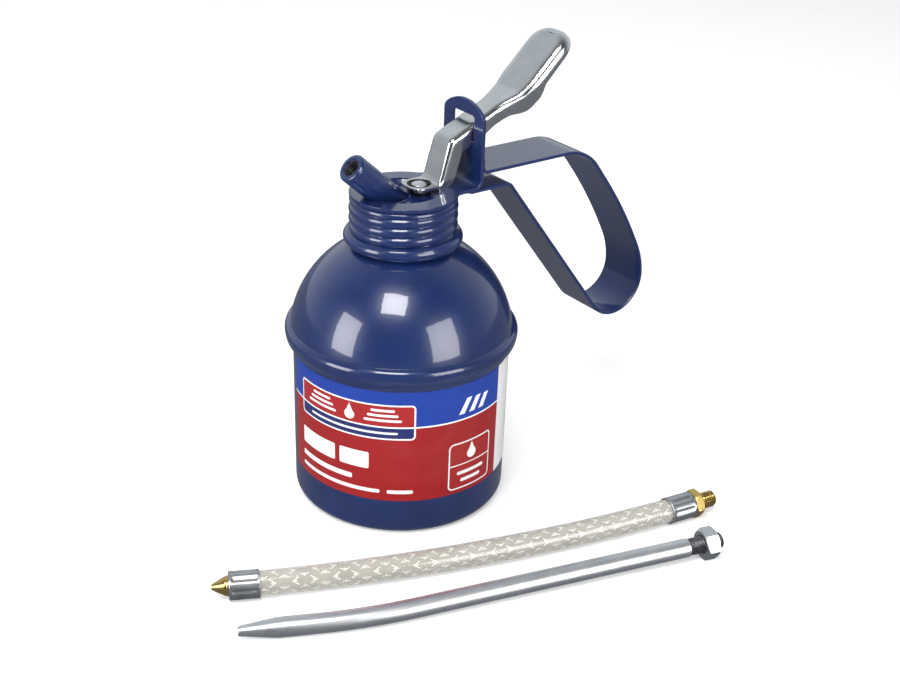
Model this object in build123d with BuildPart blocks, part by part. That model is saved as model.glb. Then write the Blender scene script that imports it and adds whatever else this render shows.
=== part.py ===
from build123d import *
import os
from math import cos, radians, sin, sqrt, tan

# Thumb-lever pump oiler can with its two interchangeable spouts.
# Millimetres. Origin at the centre of the can's base, +Z up, +X towards the handle.
# Can, cap and head share the Z axis; lever, handle and outlet lie in the plane Y = 0.

os.makedirs("parts", exist_ok=True)

# ---------------------------------------------------------------- driving dimensions
CLEAR = 0.02                 # assembly clearance between fixed pieces
SHEET = 0.7                  # pressed steel of the can and cap

CUP_R = 38.0                 # lower cup
CUP_CORNER_R = 7.4
CUP_WALL_TOP_Z = 57.3
DOME_R = 39.5                # spherical shoulder
DOME_CENTRE_Z = 59.0
BEAD_R = 40.8                # seam bead, a bulge with a round section
BEAD_Z = 63.5
BEAD_ARC_R = 9.0             # below its widest line
BEAD_TOP_ARC_R = 2.5         # above it
BEAD_TOP_Z = 65.93           # where the bead runs into the shoulder
LIP_Z = 60.5                 # lower edge of the dome's lip over the cup's flare
LABEL_Z = (14.4, 57.0)
LABEL_T = 0.12
LABEL_START_DEG = 163.6      # one edge of the label, about +Z from +X
LABEL_ARC_DEG = 340.0

NECK_R = 16.2
NECK_TOP_Z = 109.8
NECK_FOOT_Z = 98.5
NECK_THREAD_R = 16.65        # rolled ridges on the neck
GASKET_R = (15.2, 16.7)

CAP_TOP_Z = 111.8
CAP_WALL_R = 18.3
CAP_ROUND_R = 1.6
CAP_GROOVE_R = 17.7          # rolled thread seen from outside: grooves and crests
CAP_CREST_R = 18.5
CAP_RIDGES = 3
CAP_RIDGE_PITCH = 3.3
CAP_RIDGE_TOP_Z = 109.4
CAP_BEAD_R = 2.25            # rolled lower edge
CAP_BEAD_CENTRE_R = 18.15
CAP_BEAD_Z = 97.4
CAP_BORE_R = 16.9
CAP_HOLE_R = 13.8

PLATE_T = 1.3                # head plate, upright and tongue
PLATE_R = 18.4
PLATE_TOP_Z = CAP_TOP_Z + PLATE_T
DISH_R = 11.4                # sunken centre of the head plate
DISH_TOP_Z = 111.3
DISH_BOTTOM_Z = DISH_TOP_Z - PLATE_T
BRACKET_W = 22.0
BRACKET_X = 23.8             # front face of the upright
BRACKET_TOP_Z = 141.0
BRACKET_SHOULDER_Z = 136.5
WINDOW_W = 12.2
WINDOW_Z = (127.0, 136.2)
BEND_R = 2.0

STRAP_W = 20.0               # handle strip
STRAP_T = 1.2
STRAP_START_X = 19.4
STRAP_BEND_X = 36.4
STRAP_LOOP_R = 12.8          # bottom of the finger loop, on the strip's mid-plane
STRAP_TOP_Z = 117.2          # mid-plane of the upper run
STRAP_FLANGE_H = 4.0
LEG_DEG = 52.4               # slope of the lower leg
BACK_DEG = 128.0             # heading of the rear leg where it runs straight
BACK_STRAIGHT = 8.2
STRAP_CORNER_R = 18.0        # between the rear leg and the upper run

STEM_X = 6.2                 # pump axis
PIVOT_X = BRACKET_X + PLATE_T / 2
LEVER_T = 1.2
LEVER_NECK_W = 11.0
LEVER_PAD_W = 18.5
TAB_Z = 113.15               # underside of the front tab
TAB_END_X = 1.4
ROD_R = 1.5
ROD_HEAD_R = 3.2
ROD_HEAD_T = 0.85

SPIGOT_R = 5.0
SPIGOT_TILT = radians(42.0)
SPIGOT_FOOT_X = -5.6         # the spigot's axis meets the top of the dish here
SPIGOT_LEN = 20.6            # from the dish to the mouth along the axis
M6_MINOR_R = 2.5
M6_MAJOR_R = 3.0
THREAD_DEPTH = 9.0
DUCT_R = 1.3

HEAD_R = 15.0                # pump head, clamped under the cap
HEAD_BODY_R = 11.8
BOSS_R = 7.2
CHAMBER_R = 4.5
CHAMBER_TOP_Z = 105.2
GLAND_R = 3.0
GLAND_SEAT_Z = 106.2
BARREL_R = 5.5
BARREL_Z = (56.0, 101.0)
HEAD_BOTTOM_Z = 97.0
FOOT_Z = 44.0
FOOT_SEAT_Z = 50.0
FOOT_SEAT_R = 1.6
FOOT_BALL_R = 2.4
FOOT_PIN_Z = 57.2
FOOT_PIN_R = 0.6
SUCTION_R = 2.5
SUCTION_BORE_R = 1.7
SUCTION_END_Z = 3.0
PISTON_Z = (62.0, 67.0, 72.0)    # bottom, shoulder and top of the neck
PISTON_R = 4.44
PISTON_NECK_R = 3.0
PISTON_SEAT_Z = 63.5
PISTON_SEAT_R = 1.3
PISTON_BALL_R = 1.95
PACKING_Z = (64.0, 66.2)
PACKING_BORE_R = 3.5
ROD_FOOT_Z = 68.5
SPRING_R = 3.7
SPRING_WIRE_R = 0.45
SPRING_TURNS = 9

TUBE_R = 3.25                # rigid spout
TUBE_BORE_R = 1.9
TUBE_THREAD_LEN = 13.0
TUBE_STRAIGHT = 110.0
TUBE_BEND_R = 184.0
TUBE_BEND_DEG = 10.5
TUBE_TIP_STRAIGHT = 12.0
TUBE_TAPER = 12.0
TUBE_TIP_R = 1.7
TUBE_END = (65.0, -100.5)
TUBE_HEADING = radians(164.9)
NUT_AF = 10.0                # M6 hexagon nut
NUT_T = 5.0
NUT_START = 2.5              # thread left free outside the nut

HOSE_R = 4.2                 # flexible spout
HOSE_BORE_R = 2.4
HOSE_A = (-86.0, -30.3)
HOSE_M = (-9.1, -60.2)
HOSE_B = (71.4, -78.4)
HOSE_GAP = 2.4
FERRULE_R = 4.8
FERRULE_LEN = 9.0
COLLAR_T = 1.0
NOZZLE_LEN = 5.5
HEX_AF = 9.0
HEX_T = 3.5
SPOUT_THREAD_LEN = 6.5


# ---------------------------------------------------------------- helpers
def turned(plane, outline, mode=Mode.ADD):
    """Revolve a closed outline of (distance along, radius) about the plane's X axis."""
    with BuildSketch(plane) as profile:
        with BuildLine():
            Polyline(*outline, close=True)
        make_face()
    revolve(profile.sketch, axis=Axis(plane.origin, plane.x_dir), mode=mode)


def bore(plane, radius, start, end, mode=Mode.SUBTRACT):
    """A round bore (or, with Mode.ADD, a bar) along the plane's X axis."""
    turned(plane, [(start, 0), (end, 0), (end, radius), (start, radius)], mode)


def upright_axis(x):
    """Plane whose X axis runs up a vertical axis at (x, 0)."""
    return Plane(origin=(x, 0, 0), x_dir=(0, 0, 1), z_dir=(0, 1, 0))


def hex_bar(plane, across_flats, start, length):
    """Hexagon bar along the plane's X axis, one flat facing down, corners chamfered."""
    end_plane = Plane(
        origin=plane.origin + plane.x_dir * start, x_dir=plane.z_dir, z_dir=plane.x_dir
    )
    corner_r = across_flats / sqrt(3)
    with BuildSketch(end_plane) as hexagon:
        RegularPolygon(radius=across_flats / 2, side_count=6, major_radius=False, rotation=30)
    extrude(hexagon.sketch, amount=length)
    bevel = corner_r - across_flats / 2
    end = start + length
    turned(
        plane,
        [
            (start, 0),
            (start, across_flats / 2),
            (start + bevel * 0.6, corner_r + 0.01),
            (end - bevel * 0.6, corner_r + 0.01),
            (end, across_flats / 2),
            (end, 0),
        ],
        Mode.INTERSECT,
    )


can_axis = upright_axis(0)
pump_axis = upright_axis(STEM_X)


# ---------------------------------------------------------------- can
def bead_r(z):
    """Outer radius of the seam bead at height z."""
    arc_r = BEAD_TOP_ARC_R if z > BEAD_Z else BEAD_ARC_R
    return BEAD_R - arc_r + sqrt(arc_r**2 - (z - BEAD_Z) ** 2)


def dome_z(r):
    """Height of the spherical shoulder's outside at radius r."""
    return DOME_CENTRE_Z + sqrt(DOME_R**2 - r**2)


def cup_line(inset):
    """Half section of one face of the cup: base, corner, wall and hidden flare."""
    gap = SHEET + CLEAR + 0.1 + inset
    corner_r = CUP_CORNER_R - inset
    base = Line((0, inset), (CUP_R - CUP_CORNER_R, inset))
    corner = RadiusArc(base @ 1, (CUP_R - inset, CUP_CORNER_R), -corner_r)
    wall = Line(corner @ 1, (CUP_R - inset, CUP_WALL_TOP_Z))
    return Spline(
        wall @ 1,
        (bead_r(LIP_Z) - gap, LIP_Z + 0.3),
        (BEAD_R - gap, BEAD_Z),
        tangents=[(0, 1), (0, 1)],
    )


with BuildPart() as can_cup:
    with BuildSketch(Plane.XZ):
        with BuildLine():
            outer_flare = cup_line(0)
            inner_flare = cup_line(SHEET)
            Line(outer_flare @ 1, inner_flare @ 1)
            Line((0, 0), (0, SHEET))
        make_face()
    revolve(axis=Axis.Z)
can_cup.part.label = "can_cup"
export_step(can_cup.part, "parts/can_cup.step")

with BuildPart() as can_dome:
    with BuildSketch(Plane.XZ):
        with BuildLine() as dome_line:
            neck = Line((NECK_R, NECK_TOP_Z), (NECK_R, dome_z(NECK_R)))
            middle_r = 30.0
            shoulder = ThreePointArc(neck @ 1, (middle_r, dome_z(middle_r)), (bead_r(BEAD_TOP_Z), BEAD_TOP_Z))
            ThreePointArc(shoulder @ 1, (bead_r(BEAD_Z + 1.5), BEAD_Z + 1.5), (BEAD_R, BEAD_Z))
            ThreePointArc((BEAD_R, BEAD_Z), (bead_r(BEAD_Z - 1.5), BEAD_Z - 1.5), (bead_r(LIP_Z), LIP_Z))
            corners = dome_line.vertices().sort_by(Axis.Y)
            fillet(corners[-2], radius=3.5)
            fillet(dome_line.vertices().sort_by_distance((bead_r(BEAD_TOP_Z), BEAD_TOP_Z))[0], radius=1.2)
            offset(amount=SHEET, side=Side.RIGHT)
        make_face()
    revolve(axis=Axis.Z)
    for ridge in range(CAP_RIDGES):
        ridge_z = NECK_TOP_Z - 2.0 - ridge * CAP_RIDGE_PITCH
        turned(
            can_axis,
            [(ridge_z - 0.7, NECK_R - 0.2), (ridge_z, NECK_THREAD_R), (ridge_z + 0.7, NECK_R - 0.2)],
        )
can_dome.part.label = "can_dome"
export_step(can_dome.part, "parts/can_dome.step")

label_angle = radians(LABEL_START_DEG)
label_plane = Plane(
    origin=(0, 0, 0),
    x_dir=(cos(label_angle), sin(label_angle), 0),
    z_dir=(sin(label_angle), -cos(label_angle), 0),
)
with BuildPart() as can_label:
    with BuildSketch(label_plane):
        with Locations((CUP_R + LABEL_T / 2 + 0.01, (LABEL_Z[0] + LABEL_Z[1]) / 2)):
            Rectangle(LABEL_T, LABEL_Z[1] - LABEL_Z[0])
    revolve(axis=Axis.Z, revolution_arc=LABEL_ARC_DEG)
can_label.part.label = "can_label"
export_step(can_label.part, "parts/can_label.step")

with BuildPart() as cap_gasket:
    with BuildSketch(Plane.XY.offset(NECK_TOP_Z + CLEAR)):
        Circle(GASKET_R[1])
        Circle(GASKET_R[0], mode=Mode.SUBTRACT)
    extrude(amount=CAP_TOP_Z - SHEET - NECK_TOP_Z - 2 * CLEAR)
cap_gasket.part.label = "cap_gasket"
export_step(cap_gasket.part, "parts/cap_gasket.step")


# ---------------------------------------------------------------- cap and head plate
ridge_bottom_z = CAP_RIDGE_TOP_Z - CAP_RIDGES * CAP_RIDGE_PITCH
with BuildPart() as screw_cap:
    with BuildSketch(Plane.XZ):
        with BuildLine():
            top = Line((CAP_HOLE_R, CAP_TOP_Z), (CAP_WALL_R - CAP_ROUND_R, CAP_TOP_Z))
            round_over = RadiusArc(top @ 1, (CAP_WALL_R, CAP_TOP_Z - CAP_ROUND_R), CAP_ROUND_R)
            Line(round_over @ 1, (CAP_GROOVE_R, CAP_RIDGE_TOP_Z))
            for ridge in range(CAP_RIDGES):
                upper_z = CAP_RIDGE_TOP_Z - ridge * CAP_RIDGE_PITCH
                ThreePointArc(
                    (CAP_GROOVE_R, upper_z),
                    (CAP_CREST_R, upper_z - CAP_RIDGE_PITCH / 2),
                    (CAP_GROOVE_R, upper_z - CAP_RIDGE_PITCH),
                )
            flare = Line((CAP_GROOVE_R, ridge_bottom_z), (CAP_BEAD_CENTRE_R, CAP_BEAD_Z + CAP_BEAD_R))
            bead = ThreePointArc(
                flare @ 1,
                (CAP_BEAD_CENTRE_R + CAP_BEAD_R, CAP_BEAD_Z),
                (CAP_BEAD_CENTRE_R, CAP_BEAD_Z - CAP_BEAD_R),
            )
            Polyline(
                bead @ 1,
                (CAP_BORE_R, CAP_BEAD_Z - CAP_BEAD_R),
                (CAP_BORE_R, CAP_TOP_Z - SHEET),
                (CAP_HOLE_R, CAP_TOP_Z - SHEET),
                top @ 0,
            )
        make_face()
    revolve(axis=Axis.Z)
screw_cap.part.label = "screw_cap"
export_step(screw_cap.part, "parts/screw_cap.step")

# The spigot's axis: X runs from the dish out through the mouth.
spigot_dir = Vector(-cos(SPIGOT_TILT), 0, sin(SPIGOT_TILT))
spigot_axis = Plane(origin=(SPIGOT_FOOT_X, 0, DISH_TOP_Z), x_dir=spigot_dir, z_dir=(0, 1, 0))

with BuildPart() as fulcrum_bracket:
    turned(
        can_axis,
        [
            (DISH_BOTTOM_Z, 0),
            (DISH_BOTTOM_Z, DISH_R + PLATE_T),
            (CAP_TOP_Z, DISH_R + PLATE_T),
            (CAP_TOP_Z, PLATE_R),
            (PLATE_TOP_Z - 0.6, PLATE_R),
            (PLATE_TOP_Z, PLATE_R - 0.6),
            (PLATE_TOP_Z, DISH_R),
            (DISH_TOP_Z, DISH_R),
            (DISH_TOP_Z, 0),
        ],
    )
    with BuildSketch(Plane.XZ) as angle_section:
        with BuildLine():
            Polyline(
                (DISH_R + PLATE_T, CAP_TOP_Z),
                (BRACKET_X + PLATE_T, CAP_TOP_Z),
                (BRACKET_X + PLATE_T, BRACKET_TOP_Z),
                (BRACKET_X, BRACKET_TOP_Z),
                (BRACKET_X, PLATE_TOP_Z),
                (DISH_R + PLATE_T, PLATE_TOP_Z),
                close=True,
            )
        make_face()
        bend_corners = angle_section.vertices().filter_by_position(Axis.X, BRACKET_X - 1, BRACKET_X + 2)
        bend_corners = bend_corners.filter_by_position(Axis.Y, CAP_TOP_Z - 1, PLATE_TOP_Z + 1)
        fillet(bend_corners.sort_by(Axis.Y)[0], radius=BEND_R + PLATE_T)
        fillet(bend_corners.sort_by(Axis.Y)[-1], radius=BEND_R)
    extrude(amount=BRACKET_W / 2, both=True)
    with BuildSketch(Plane.YZ):
        with BuildLine():
            sides = Polyline(
                (-BRACKET_W / 2, BRACKET_SHOULDER_Z),
                (-BRACKET_W / 2, DISH_BOTTOM_Z - 1),
                (BRACKET_W / 2, DISH_BOTTOM_Z - 1),
                (BRACKET_W / 2, BRACKET_SHOULDER_Z),
            )
            ThreePointArc(sides @ 1, (0, BRACKET_TOP_Z), sides @ 0)
        make_face()
        with BuildLine():
            Polyline(
                (-PLATE_R - 1, DISH_BOTTOM_Z - 1),
                (PLATE_R + 1, DISH_BOTTOM_Z - 1),
                (PLATE_R + 1, PLATE_TOP_Z + 1),
                (-PLATE_R - 1, PLATE_TOP_Z + 1),
                close=True,
            )
        make_face()
    extrude(amount=2 * PLATE_R, both=True, mode=Mode.INTERSECT)
    with BuildSketch(Plane.YZ.offset(BRACKET_X - 1)):
        with Locations((0, (WINDOW_Z[0] + WINDOW_Z[1]) / 2)):
            RectangleRounded(WINDOW_W, WINDOW_Z[1] - WINDOW_Z[0], 0.8)
    extrude(amount=PLATE_T + 2, mode=Mode.SUBTRACT)
    bore(spigot_axis, SPIGOT_R + CLEAR, -12, SPIGOT_LEN)
    bore(pump_axis, GLAND_R + 0.2, DISH_BOTTOM_Z - 1, DISH_TOP_Z + 1)
fulcrum_bracket.part.label = "fulcrum_bracket"
export_step(fulcrum_bracket.part, "parts/fulcrum_bracket.step")

with BuildPart() as outlet_spigot:
    turned(
        spigot_axis,
        [
            (-12, 0),
            (-12, SPIGOT_R),
            (SPIGOT_LEN - 0.7, SPIGOT_R),
            (SPIGOT_LEN, SPIGOT_R - 0.7),
            (SPIGOT_LEN, 0),
        ],
    )
    split(bisect_by=Plane.XY.offset(DISH_BOTTOM_Z + CLEAR), keep=Keep.TOP)
    bore(spigot_axis, M6_MINOR_R, SPIGOT_LEN - THREAD_DEPTH, SPIGOT_LEN + 1)
    bore(spigot_axis, DUCT_R, -14, SPIGOT_LEN)
    bore(pump_axis, GLAND_R + CLEAR, DISH_BOTTOM_Z - 1, DISH_TOP_Z)
    turned(
        spigot_axis,
        [
            (SPIGOT_LEN - 0.6, M6_MINOR_R - 0.1),
            (SPIGOT_LEN + 0.1, M6_MAJOR_R + 0.2),
            (SPIGOT_LEN + 0.1, M6_MINOR_R - 0.1),
        ],
        Mode.SUBTRACT,
    )
outlet_spigot.part.label = "outlet_spigot"
export_step(outlet_spigot.part, "parts/outlet_spigot.step")


# ---------------------------------------------------------------- handle
def arc_rise(radius, from_deg, to_deg):
    """Height gained on an arc that turns left from one heading to another."""
    return radius * (cos(radians(from_deg)) - cos(radians(to_deg)))


loop_turns = [(STRAP_LOOP_R, -LEG_DEG, 95.0), (30.0, 95.0, 117.0), (192.0, 117.0, BACK_DEG)]
strap_low_z = CAP_TOP_Z - STRAP_T / 2 - CLEAR
bend_mid_r = BEND_R + STRAP_T / 2
rise = sum(arc_rise(radius, start, end) for radius, start, end in loop_turns)
rise += BACK_STRAIGHT * sin(radians(BACK_DEG)) + arc_rise(STRAP_CORNER_R, BACK_DEG, 180)
drop_at_bend = -arc_rise(bend_mid_r, 0, LEG_DEG)
leg_len = (rise + drop_at_bend - (STRAP_TOP_Z - strap_low_z)) / sin(radians(LEG_DEG))
flange_x = BRACKET_X + PLATE_T + STRAP_T / 2 + CLEAR

with BuildPart() as handle_strap:
    with BuildSketch(Plane.XZ):
        with BuildLine():
            run = Line((STRAP_START_X, strap_low_z), (STRAP_BEND_X, strap_low_z))
            turn = JernArc(run @ 1, run % 1, bend_mid_r, -LEG_DEG)
            leg = Line(turn @ 1, turn @ 1 + (turn % 1) * leg_len)
            last = leg
            for radius, start, end in loop_turns:
                last = JernArc(last @ 1, last % 1, radius, end - start)
            back = Line(last @ 1, last @ 1 + (last % 1) * BACK_STRAIGHT)
            corner = JernArc(back @ 1, back % 1, STRAP_CORNER_R, 180 - BACK_DEG)
            top_run = Line(corner @ 1, (flange_x + bend_mid_r, STRAP_TOP_Z))
            flange_turn = JernArc(top_run @ 1, top_run % 1, bend_mid_r, -90)
            Line(flange_turn @ 1, flange_turn @ 1 + (flange_turn % 1) * STRAP_FLANGE_H)
        trace(line_width=STRAP_T)
    extrude(amount=STRAP_W / 2, both=True)
handle_strap.part.label = "handle_strap"
export_step(handle_strap.part, "parts/handle_strap.step")


# ---------------------------------------------------------------- pump
with BuildPart() as pump_head:
    turned(
        can_axis,
        [
            (HEAD_BOTTOM_Z + 5.5, 0),
            (HEAD_BOTTOM_Z + 5.5, HEAD_BODY_R),
            (DISH_BOTTOM_Z - 2, HEAD_BODY_R),
            (DISH_BOTTOM_Z - 2, HEAD_R),
            (CAP_TOP_Z - SHEET - CLEAR, HEAD_R),
            (CAP_TOP_Z - SHEET - CLEAR, CAP_HOLE_R + 0.1),
            (DISH_BOTTOM_Z, CAP_HOLE_R + 0.1),
            (DISH_BOTTOM_Z, 0),
        ],
    )
    bore(pump_axis, BOSS_R, HEAD_BOTTOM_Z, HEAD_BOTTOM_Z + 6, Mode.ADD)
    bore(pump_axis, CHAMBER_R, HEAD_BOTTOM_Z - 1, CHAMBER_TOP_Z)
    bore(pump_axis, BARREL_R + CLEAR, HEAD_BOTTOM_Z - 1, BARREL_Z[1])
    bore(pump_axis, ROD_R + 0.1, CHAMBER_TOP_Z - 1, GLAND_SEAT_Z + 1)
    bore(pump_axis, GLAND_R, GLAND_SEAT_Z, DISH_BOTTOM_Z + 1)
    chamber_reach = (STEM_X - CHAMBER_R + 1 - SPIGOT_FOOT_X) / cos(SPIGOT_TILT)
    bore(spigot_axis, DUCT_R, -chamber_reach, 1)
pump_head.part.label = "pump_head"
export_step(pump_head.part, "parts/pump_head.step")

with BuildPart() as stem_gland:
    turned(
        pump_axis,
        [
            (GLAND_SEAT_Z + 1.5, ROD_R + 0.06),
            (GLAND_SEAT_Z + 1.5, GLAND_R - CLEAR),
            (DISH_TOP_Z + CLEAR, GLAND_R - CLEAR),
            (DISH_TOP_Z + CLEAR, GLAND_R + 1),
            (TAB_Z - 0.3, GLAND_R + 1),
            (TAB_Z - 0.1, GLAND_R + 0.8),
            (TAB_Z - 0.1, ROD_R + 0.06),
        ],
    )
stem_gland.part.label = "stem_gland"
export_step(stem_gland.part, "parts/stem_gland.step")

with BuildPart() as gland_packing:
    turned(
        pump_axis,
        [
            (GLAND_SEAT_Z + CLEAR, ROD_R + 0.03),
            (GLAND_SEAT_Z + CLEAR, GLAND_R - CLEAR),
            (GLAND_SEAT_Z + 1.5 - CLEAR, GLAND_R - CLEAR),
            (GLAND_SEAT_Z + 1.5 - CLEAR, ROD_R + 0.03),
        ],
    )
gland_packing.part.label = "gland_packing"
export_step(gland_packing.part, "parts/gland_packing.step")

with BuildPart() as pump_barrel:
    bore(pump_axis, BARREL_R, BARREL_Z[0], BARREL_Z[1] - CLEAR, Mode.ADD)
    bore(pump_axis, CHAMBER_R, BARREL_Z[0] - 1, BARREL_Z[1] + 1)
pump_barrel.part.label = "pump_barrel"
export_step(pump_barrel.part, "parts/pump_barrel.step")

with BuildPart() as foot_valve_body:
    bore(pump_axis, BARREL_R, FOOT_Z, BARREL_Z[0] - CLEAR, Mode.ADD)
    bore(pump_axis, CHAMBER_R - CLEAR, BARREL_Z[0] - 1, BARREL_Z[0] + 4, Mode.ADD)
    bore(pump_axis, FOOT_BALL_R + 0.5, FOOT_SEAT_Z, BARREL_Z[0] + 5)
    bore(pump_axis, FOOT_SEAT_R, FOOT_Z, FOOT_SEAT_Z + 1)
    bore(pump_axis, SUCTION_R, FOOT_Z - 1, FOOT_Z + 4)
    with BuildSketch(Plane.XZ):
        with Locations((STEM_X, FOOT_PIN_Z)):
            Circle(FOOT_PIN_R)
    extrude(amount=BARREL_R, both=True, mode=Mode.SUBTRACT)
foot_valve_body.part.label = "foot_valve_body"
export_step(foot_valve_body.part, "parts/foot_valve_body.step")

with BuildPart() as foot_ball_pin:
    with BuildSketch(Plane.XZ):
        with Locations((STEM_X, FOOT_PIN_Z)):
            Circle(FOOT_PIN_R - CLEAR / 2)
    extrude(amount=CHAMBER_R - 0.1, both=True)
foot_ball_pin.part.label = "foot_ball_pin"
export_step(foot_ball_pin.part, "parts/foot_ball_pin.step")

with BuildPart() as foot_ball:
    foot_ball_z = FOOT_SEAT_Z + sqrt(FOOT_BALL_R**2 - FOOT_SEAT_R**2) + 0.005
    with Locations((STEM_X, 0, foot_ball_z)):
        Sphere(FOOT_BALL_R)
foot_ball.part.label = "foot_ball"
export_step(foot_ball.part, "parts/foot_ball.step")

with BuildPart() as suction_tube:
    bore(pump_axis, SUCTION_R - CLEAR, SUCTION_END_Z, FOOT_Z + 4 - CLEAR, Mode.ADD)
    bore(pump_axis, SUCTION_BORE_R, SUCTION_END_Z - 1, FOOT_Z + 5)
    slanted_end = Plane(origin=(STEM_X, 0, SUCTION_END_Z + 1.6), z_dir=(0.5, 0, 1))
    split(bisect_by=slanted_end, keep=Keep.TOP)
suction_tube.part.label = "suction_tube"
export_step(suction_tube.part, "parts/suction_tube.step")

piston_bottom_z, piston_shoulder_z, piston_top_z = PISTON_Z
with BuildPart() as piston:
    bore(pump_axis, PISTON_R, piston_bottom_z, piston_shoulder_z, Mode.ADD)
    bore(pump_axis, PISTON_NECK_R, piston_shoulder_z, piston_top_z, Mode.ADD)
    turned(
        pump_axis,
        [
            (PACKING_Z[0], PACKING_BORE_R),
            (PACKING_Z[1], PACKING_BORE_R),
            (PACKING_Z[1], PISTON_R + 1),
            (PACKING_Z[0], PISTON_R + 1),
        ],
        Mode.SUBTRACT,
    )
    bore(pump_axis, PISTON_SEAT_R, piston_bottom_z - 1, PISTON_SEAT_Z + 1)
    bore(pump_axis, PISTON_BALL_R + 0.45, PISTON_SEAT_Z, ROD_FOOT_Z)
    bore(pump_axis, ROD_R + CLEAR / 2, ROD_FOOT_Z - 1, piston_top_z + 1)
    with BuildSketch(Plane.XZ):
        with Locations((STEM_X, piston_shoulder_z + 0.9)):
            Circle(0.7)
    extrude(amount=PISTON_R, both=True, mode=Mode.SUBTRACT)
piston.part.label = "piston"
export_step(piston.part, "parts/piston.step")

with BuildPart() as piston_packing:
    turned(
        pump_axis,
        [
            (PACKING_Z[0] + CLEAR, PACKING_BORE_R + CLEAR),
            (PACKING_Z[1] - CLEAR, PACKING_BORE_R + CLEAR),
            (PACKING_Z[1] - CLEAR, CHAMBER_R - 0.04),
            (PACKING_Z[0] + CLEAR, CHAMBER_R - 0.04),
        ],
    )
piston_packing.part.label = "piston_packing"
export_step(piston_packing.part, "parts/piston_packing.step")

with BuildPart() as piston_ball:
    piston_ball_z = PISTON_SEAT_Z + sqrt(PISTON_BALL_R**2 - PISTON_SEAT_R**2) + 0.005
    with Locations((STEM_X, 0, piston_ball_z)):
        Sphere(PISTON_BALL_R)
piston_ball.part.label = "piston_ball"
export_step(piston_ball.part, "parts/piston_ball.step")

rod_head_z = TAB_Z + LEVER_T + 0.05
with BuildPart() as plunger_rod:
    turned(
        pump_axis,
        [
            (ROD_FOOT_Z, 0),
            (ROD_FOOT_Z, ROD_R),
            (rod_head_z, ROD_R),
            (rod_head_z, ROD_HEAD_R),
            (rod_head_z + ROD_HEAD_T / 2, ROD_HEAD_R),
            (rod_head_z + ROD_HEAD_T, ROD_HEAD_R - 1.2),
            (rod_head_z + ROD_HEAD_T, 0),
        ],
    )
plunger_rod.part.label = "plunger_rod"
export_step(plunger_rod.part, "parts/plunger_rod.step")

spring_low_z = piston_shoulder_z + SPRING_WIRE_R + CLEAR
spring_high_z = CHAMBER_TOP_Z - SPRING_WIRE_R - CLEAR
spring_len = spring_high_z - spring_low_z
with BuildPart() as return_spring:
    with BuildLine():
        coil = Helix(
            pitch=spring_len / SPRING_TURNS,
            height=spring_len,
            radius=SPRING_R,
            center=(STEM_X, 0, spring_low_z),
        )
    with BuildSketch(Plane(origin=coil @ 0, z_dir=coil % 0)):
        Circle(SPRING_WIRE_R)
    sweep(path=coil, is_frenet=True)
return_spring.part.label = "return_spring"
export_step(return_spring.part, "parts/return_spring.step")


# ---------------------------------------------------------------- thumb lever
# Upper line of the pressed channel in the plane Y = 0, from the tab to the end of the pad.
tab_top_z = TAB_Z + LEVER_T
lever_top = [(TAB_END_X, tab_top_z), (10.9, tab_top_z), (15.2, 129.0), (42.5, 141.6), (61.8, 160.2)]
# Lower edge of the side flanges, from the end of the pad back to the tab.
flange_line = [
    (64.4, 157.6),
    (47.0, 138.9),
    (41.5, 133.6),
    (35.0, 131.6),
    (27.0, 126.3),
    (22.6, 126.3),
    (20.6, 125.0),
    (17.4, 116.4),
    (15.6, 114.2),
    (12.6, 114.0),
    (10.6, TAB_Z),
]
neck_half = LEVER_NECK_W / 2
pad_half = LEVER_PAD_W / 2
plan_line = [(TAB_END_X, neck_half), (33.0, neck_half), (46.5, pad_half), (64.6, pad_half)]


def lever_plan(inset):
    """Plan outline of the lever, moved in by the given amount."""
    with BuildSketch(Plane.XY.offset(100)) as plan:
        with BuildLine():
            upper = [(x, y) for x, y in plan_line]
            Polyline(*upper, *[(x, -y) for x, y in reversed(upper)], close=True)
        make_face()
        ends = plan.vertices().sort_by(Axis.X)
        fillet(ends[-2:], radius=6.0)
        fillet(ends[:2], radius=1.5)
        if inset:
            offset(amount=-inset, mode=Mode.REPLACE)
    return plan.sketch


lever_outer = lever_plan(0)
lever_inner = lever_plan(LEVER_T)

with BuildPart() as lever_skin:
    with BuildSketch(Plane.XZ):
        with BuildLine():
            FilletPolyline(*lever_top, radius=[1.2, 3.0, 3.0])
            offset(amount=LEVER_T, side=Side.RIGHT)
        make_face()
    extrude(amount=LEVER_PAD_W / 2, both=True)
    extrude(lever_outer, amount=80, mode=Mode.INTERSECT)

with BuildPart() as lever_skirt:
    with BuildSketch(Plane.XZ):
        with BuildLine():
            top_edge = FilletPolyline(*lever_top, radius=[1.2, 3.0, 3.0])
            Polyline(top_edge @ 1, *flange_line, (TAB_END_X, TAB_Z), top_edge @ 0)
        make_face()
    extrude(amount=LEVER_PAD_W / 2, both=True)
    extrude(lever_outer, amount=80, mode=Mode.INTERSECT)
    extrude(lever_inner, amount=80, mode=Mode.SUBTRACT)

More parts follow.
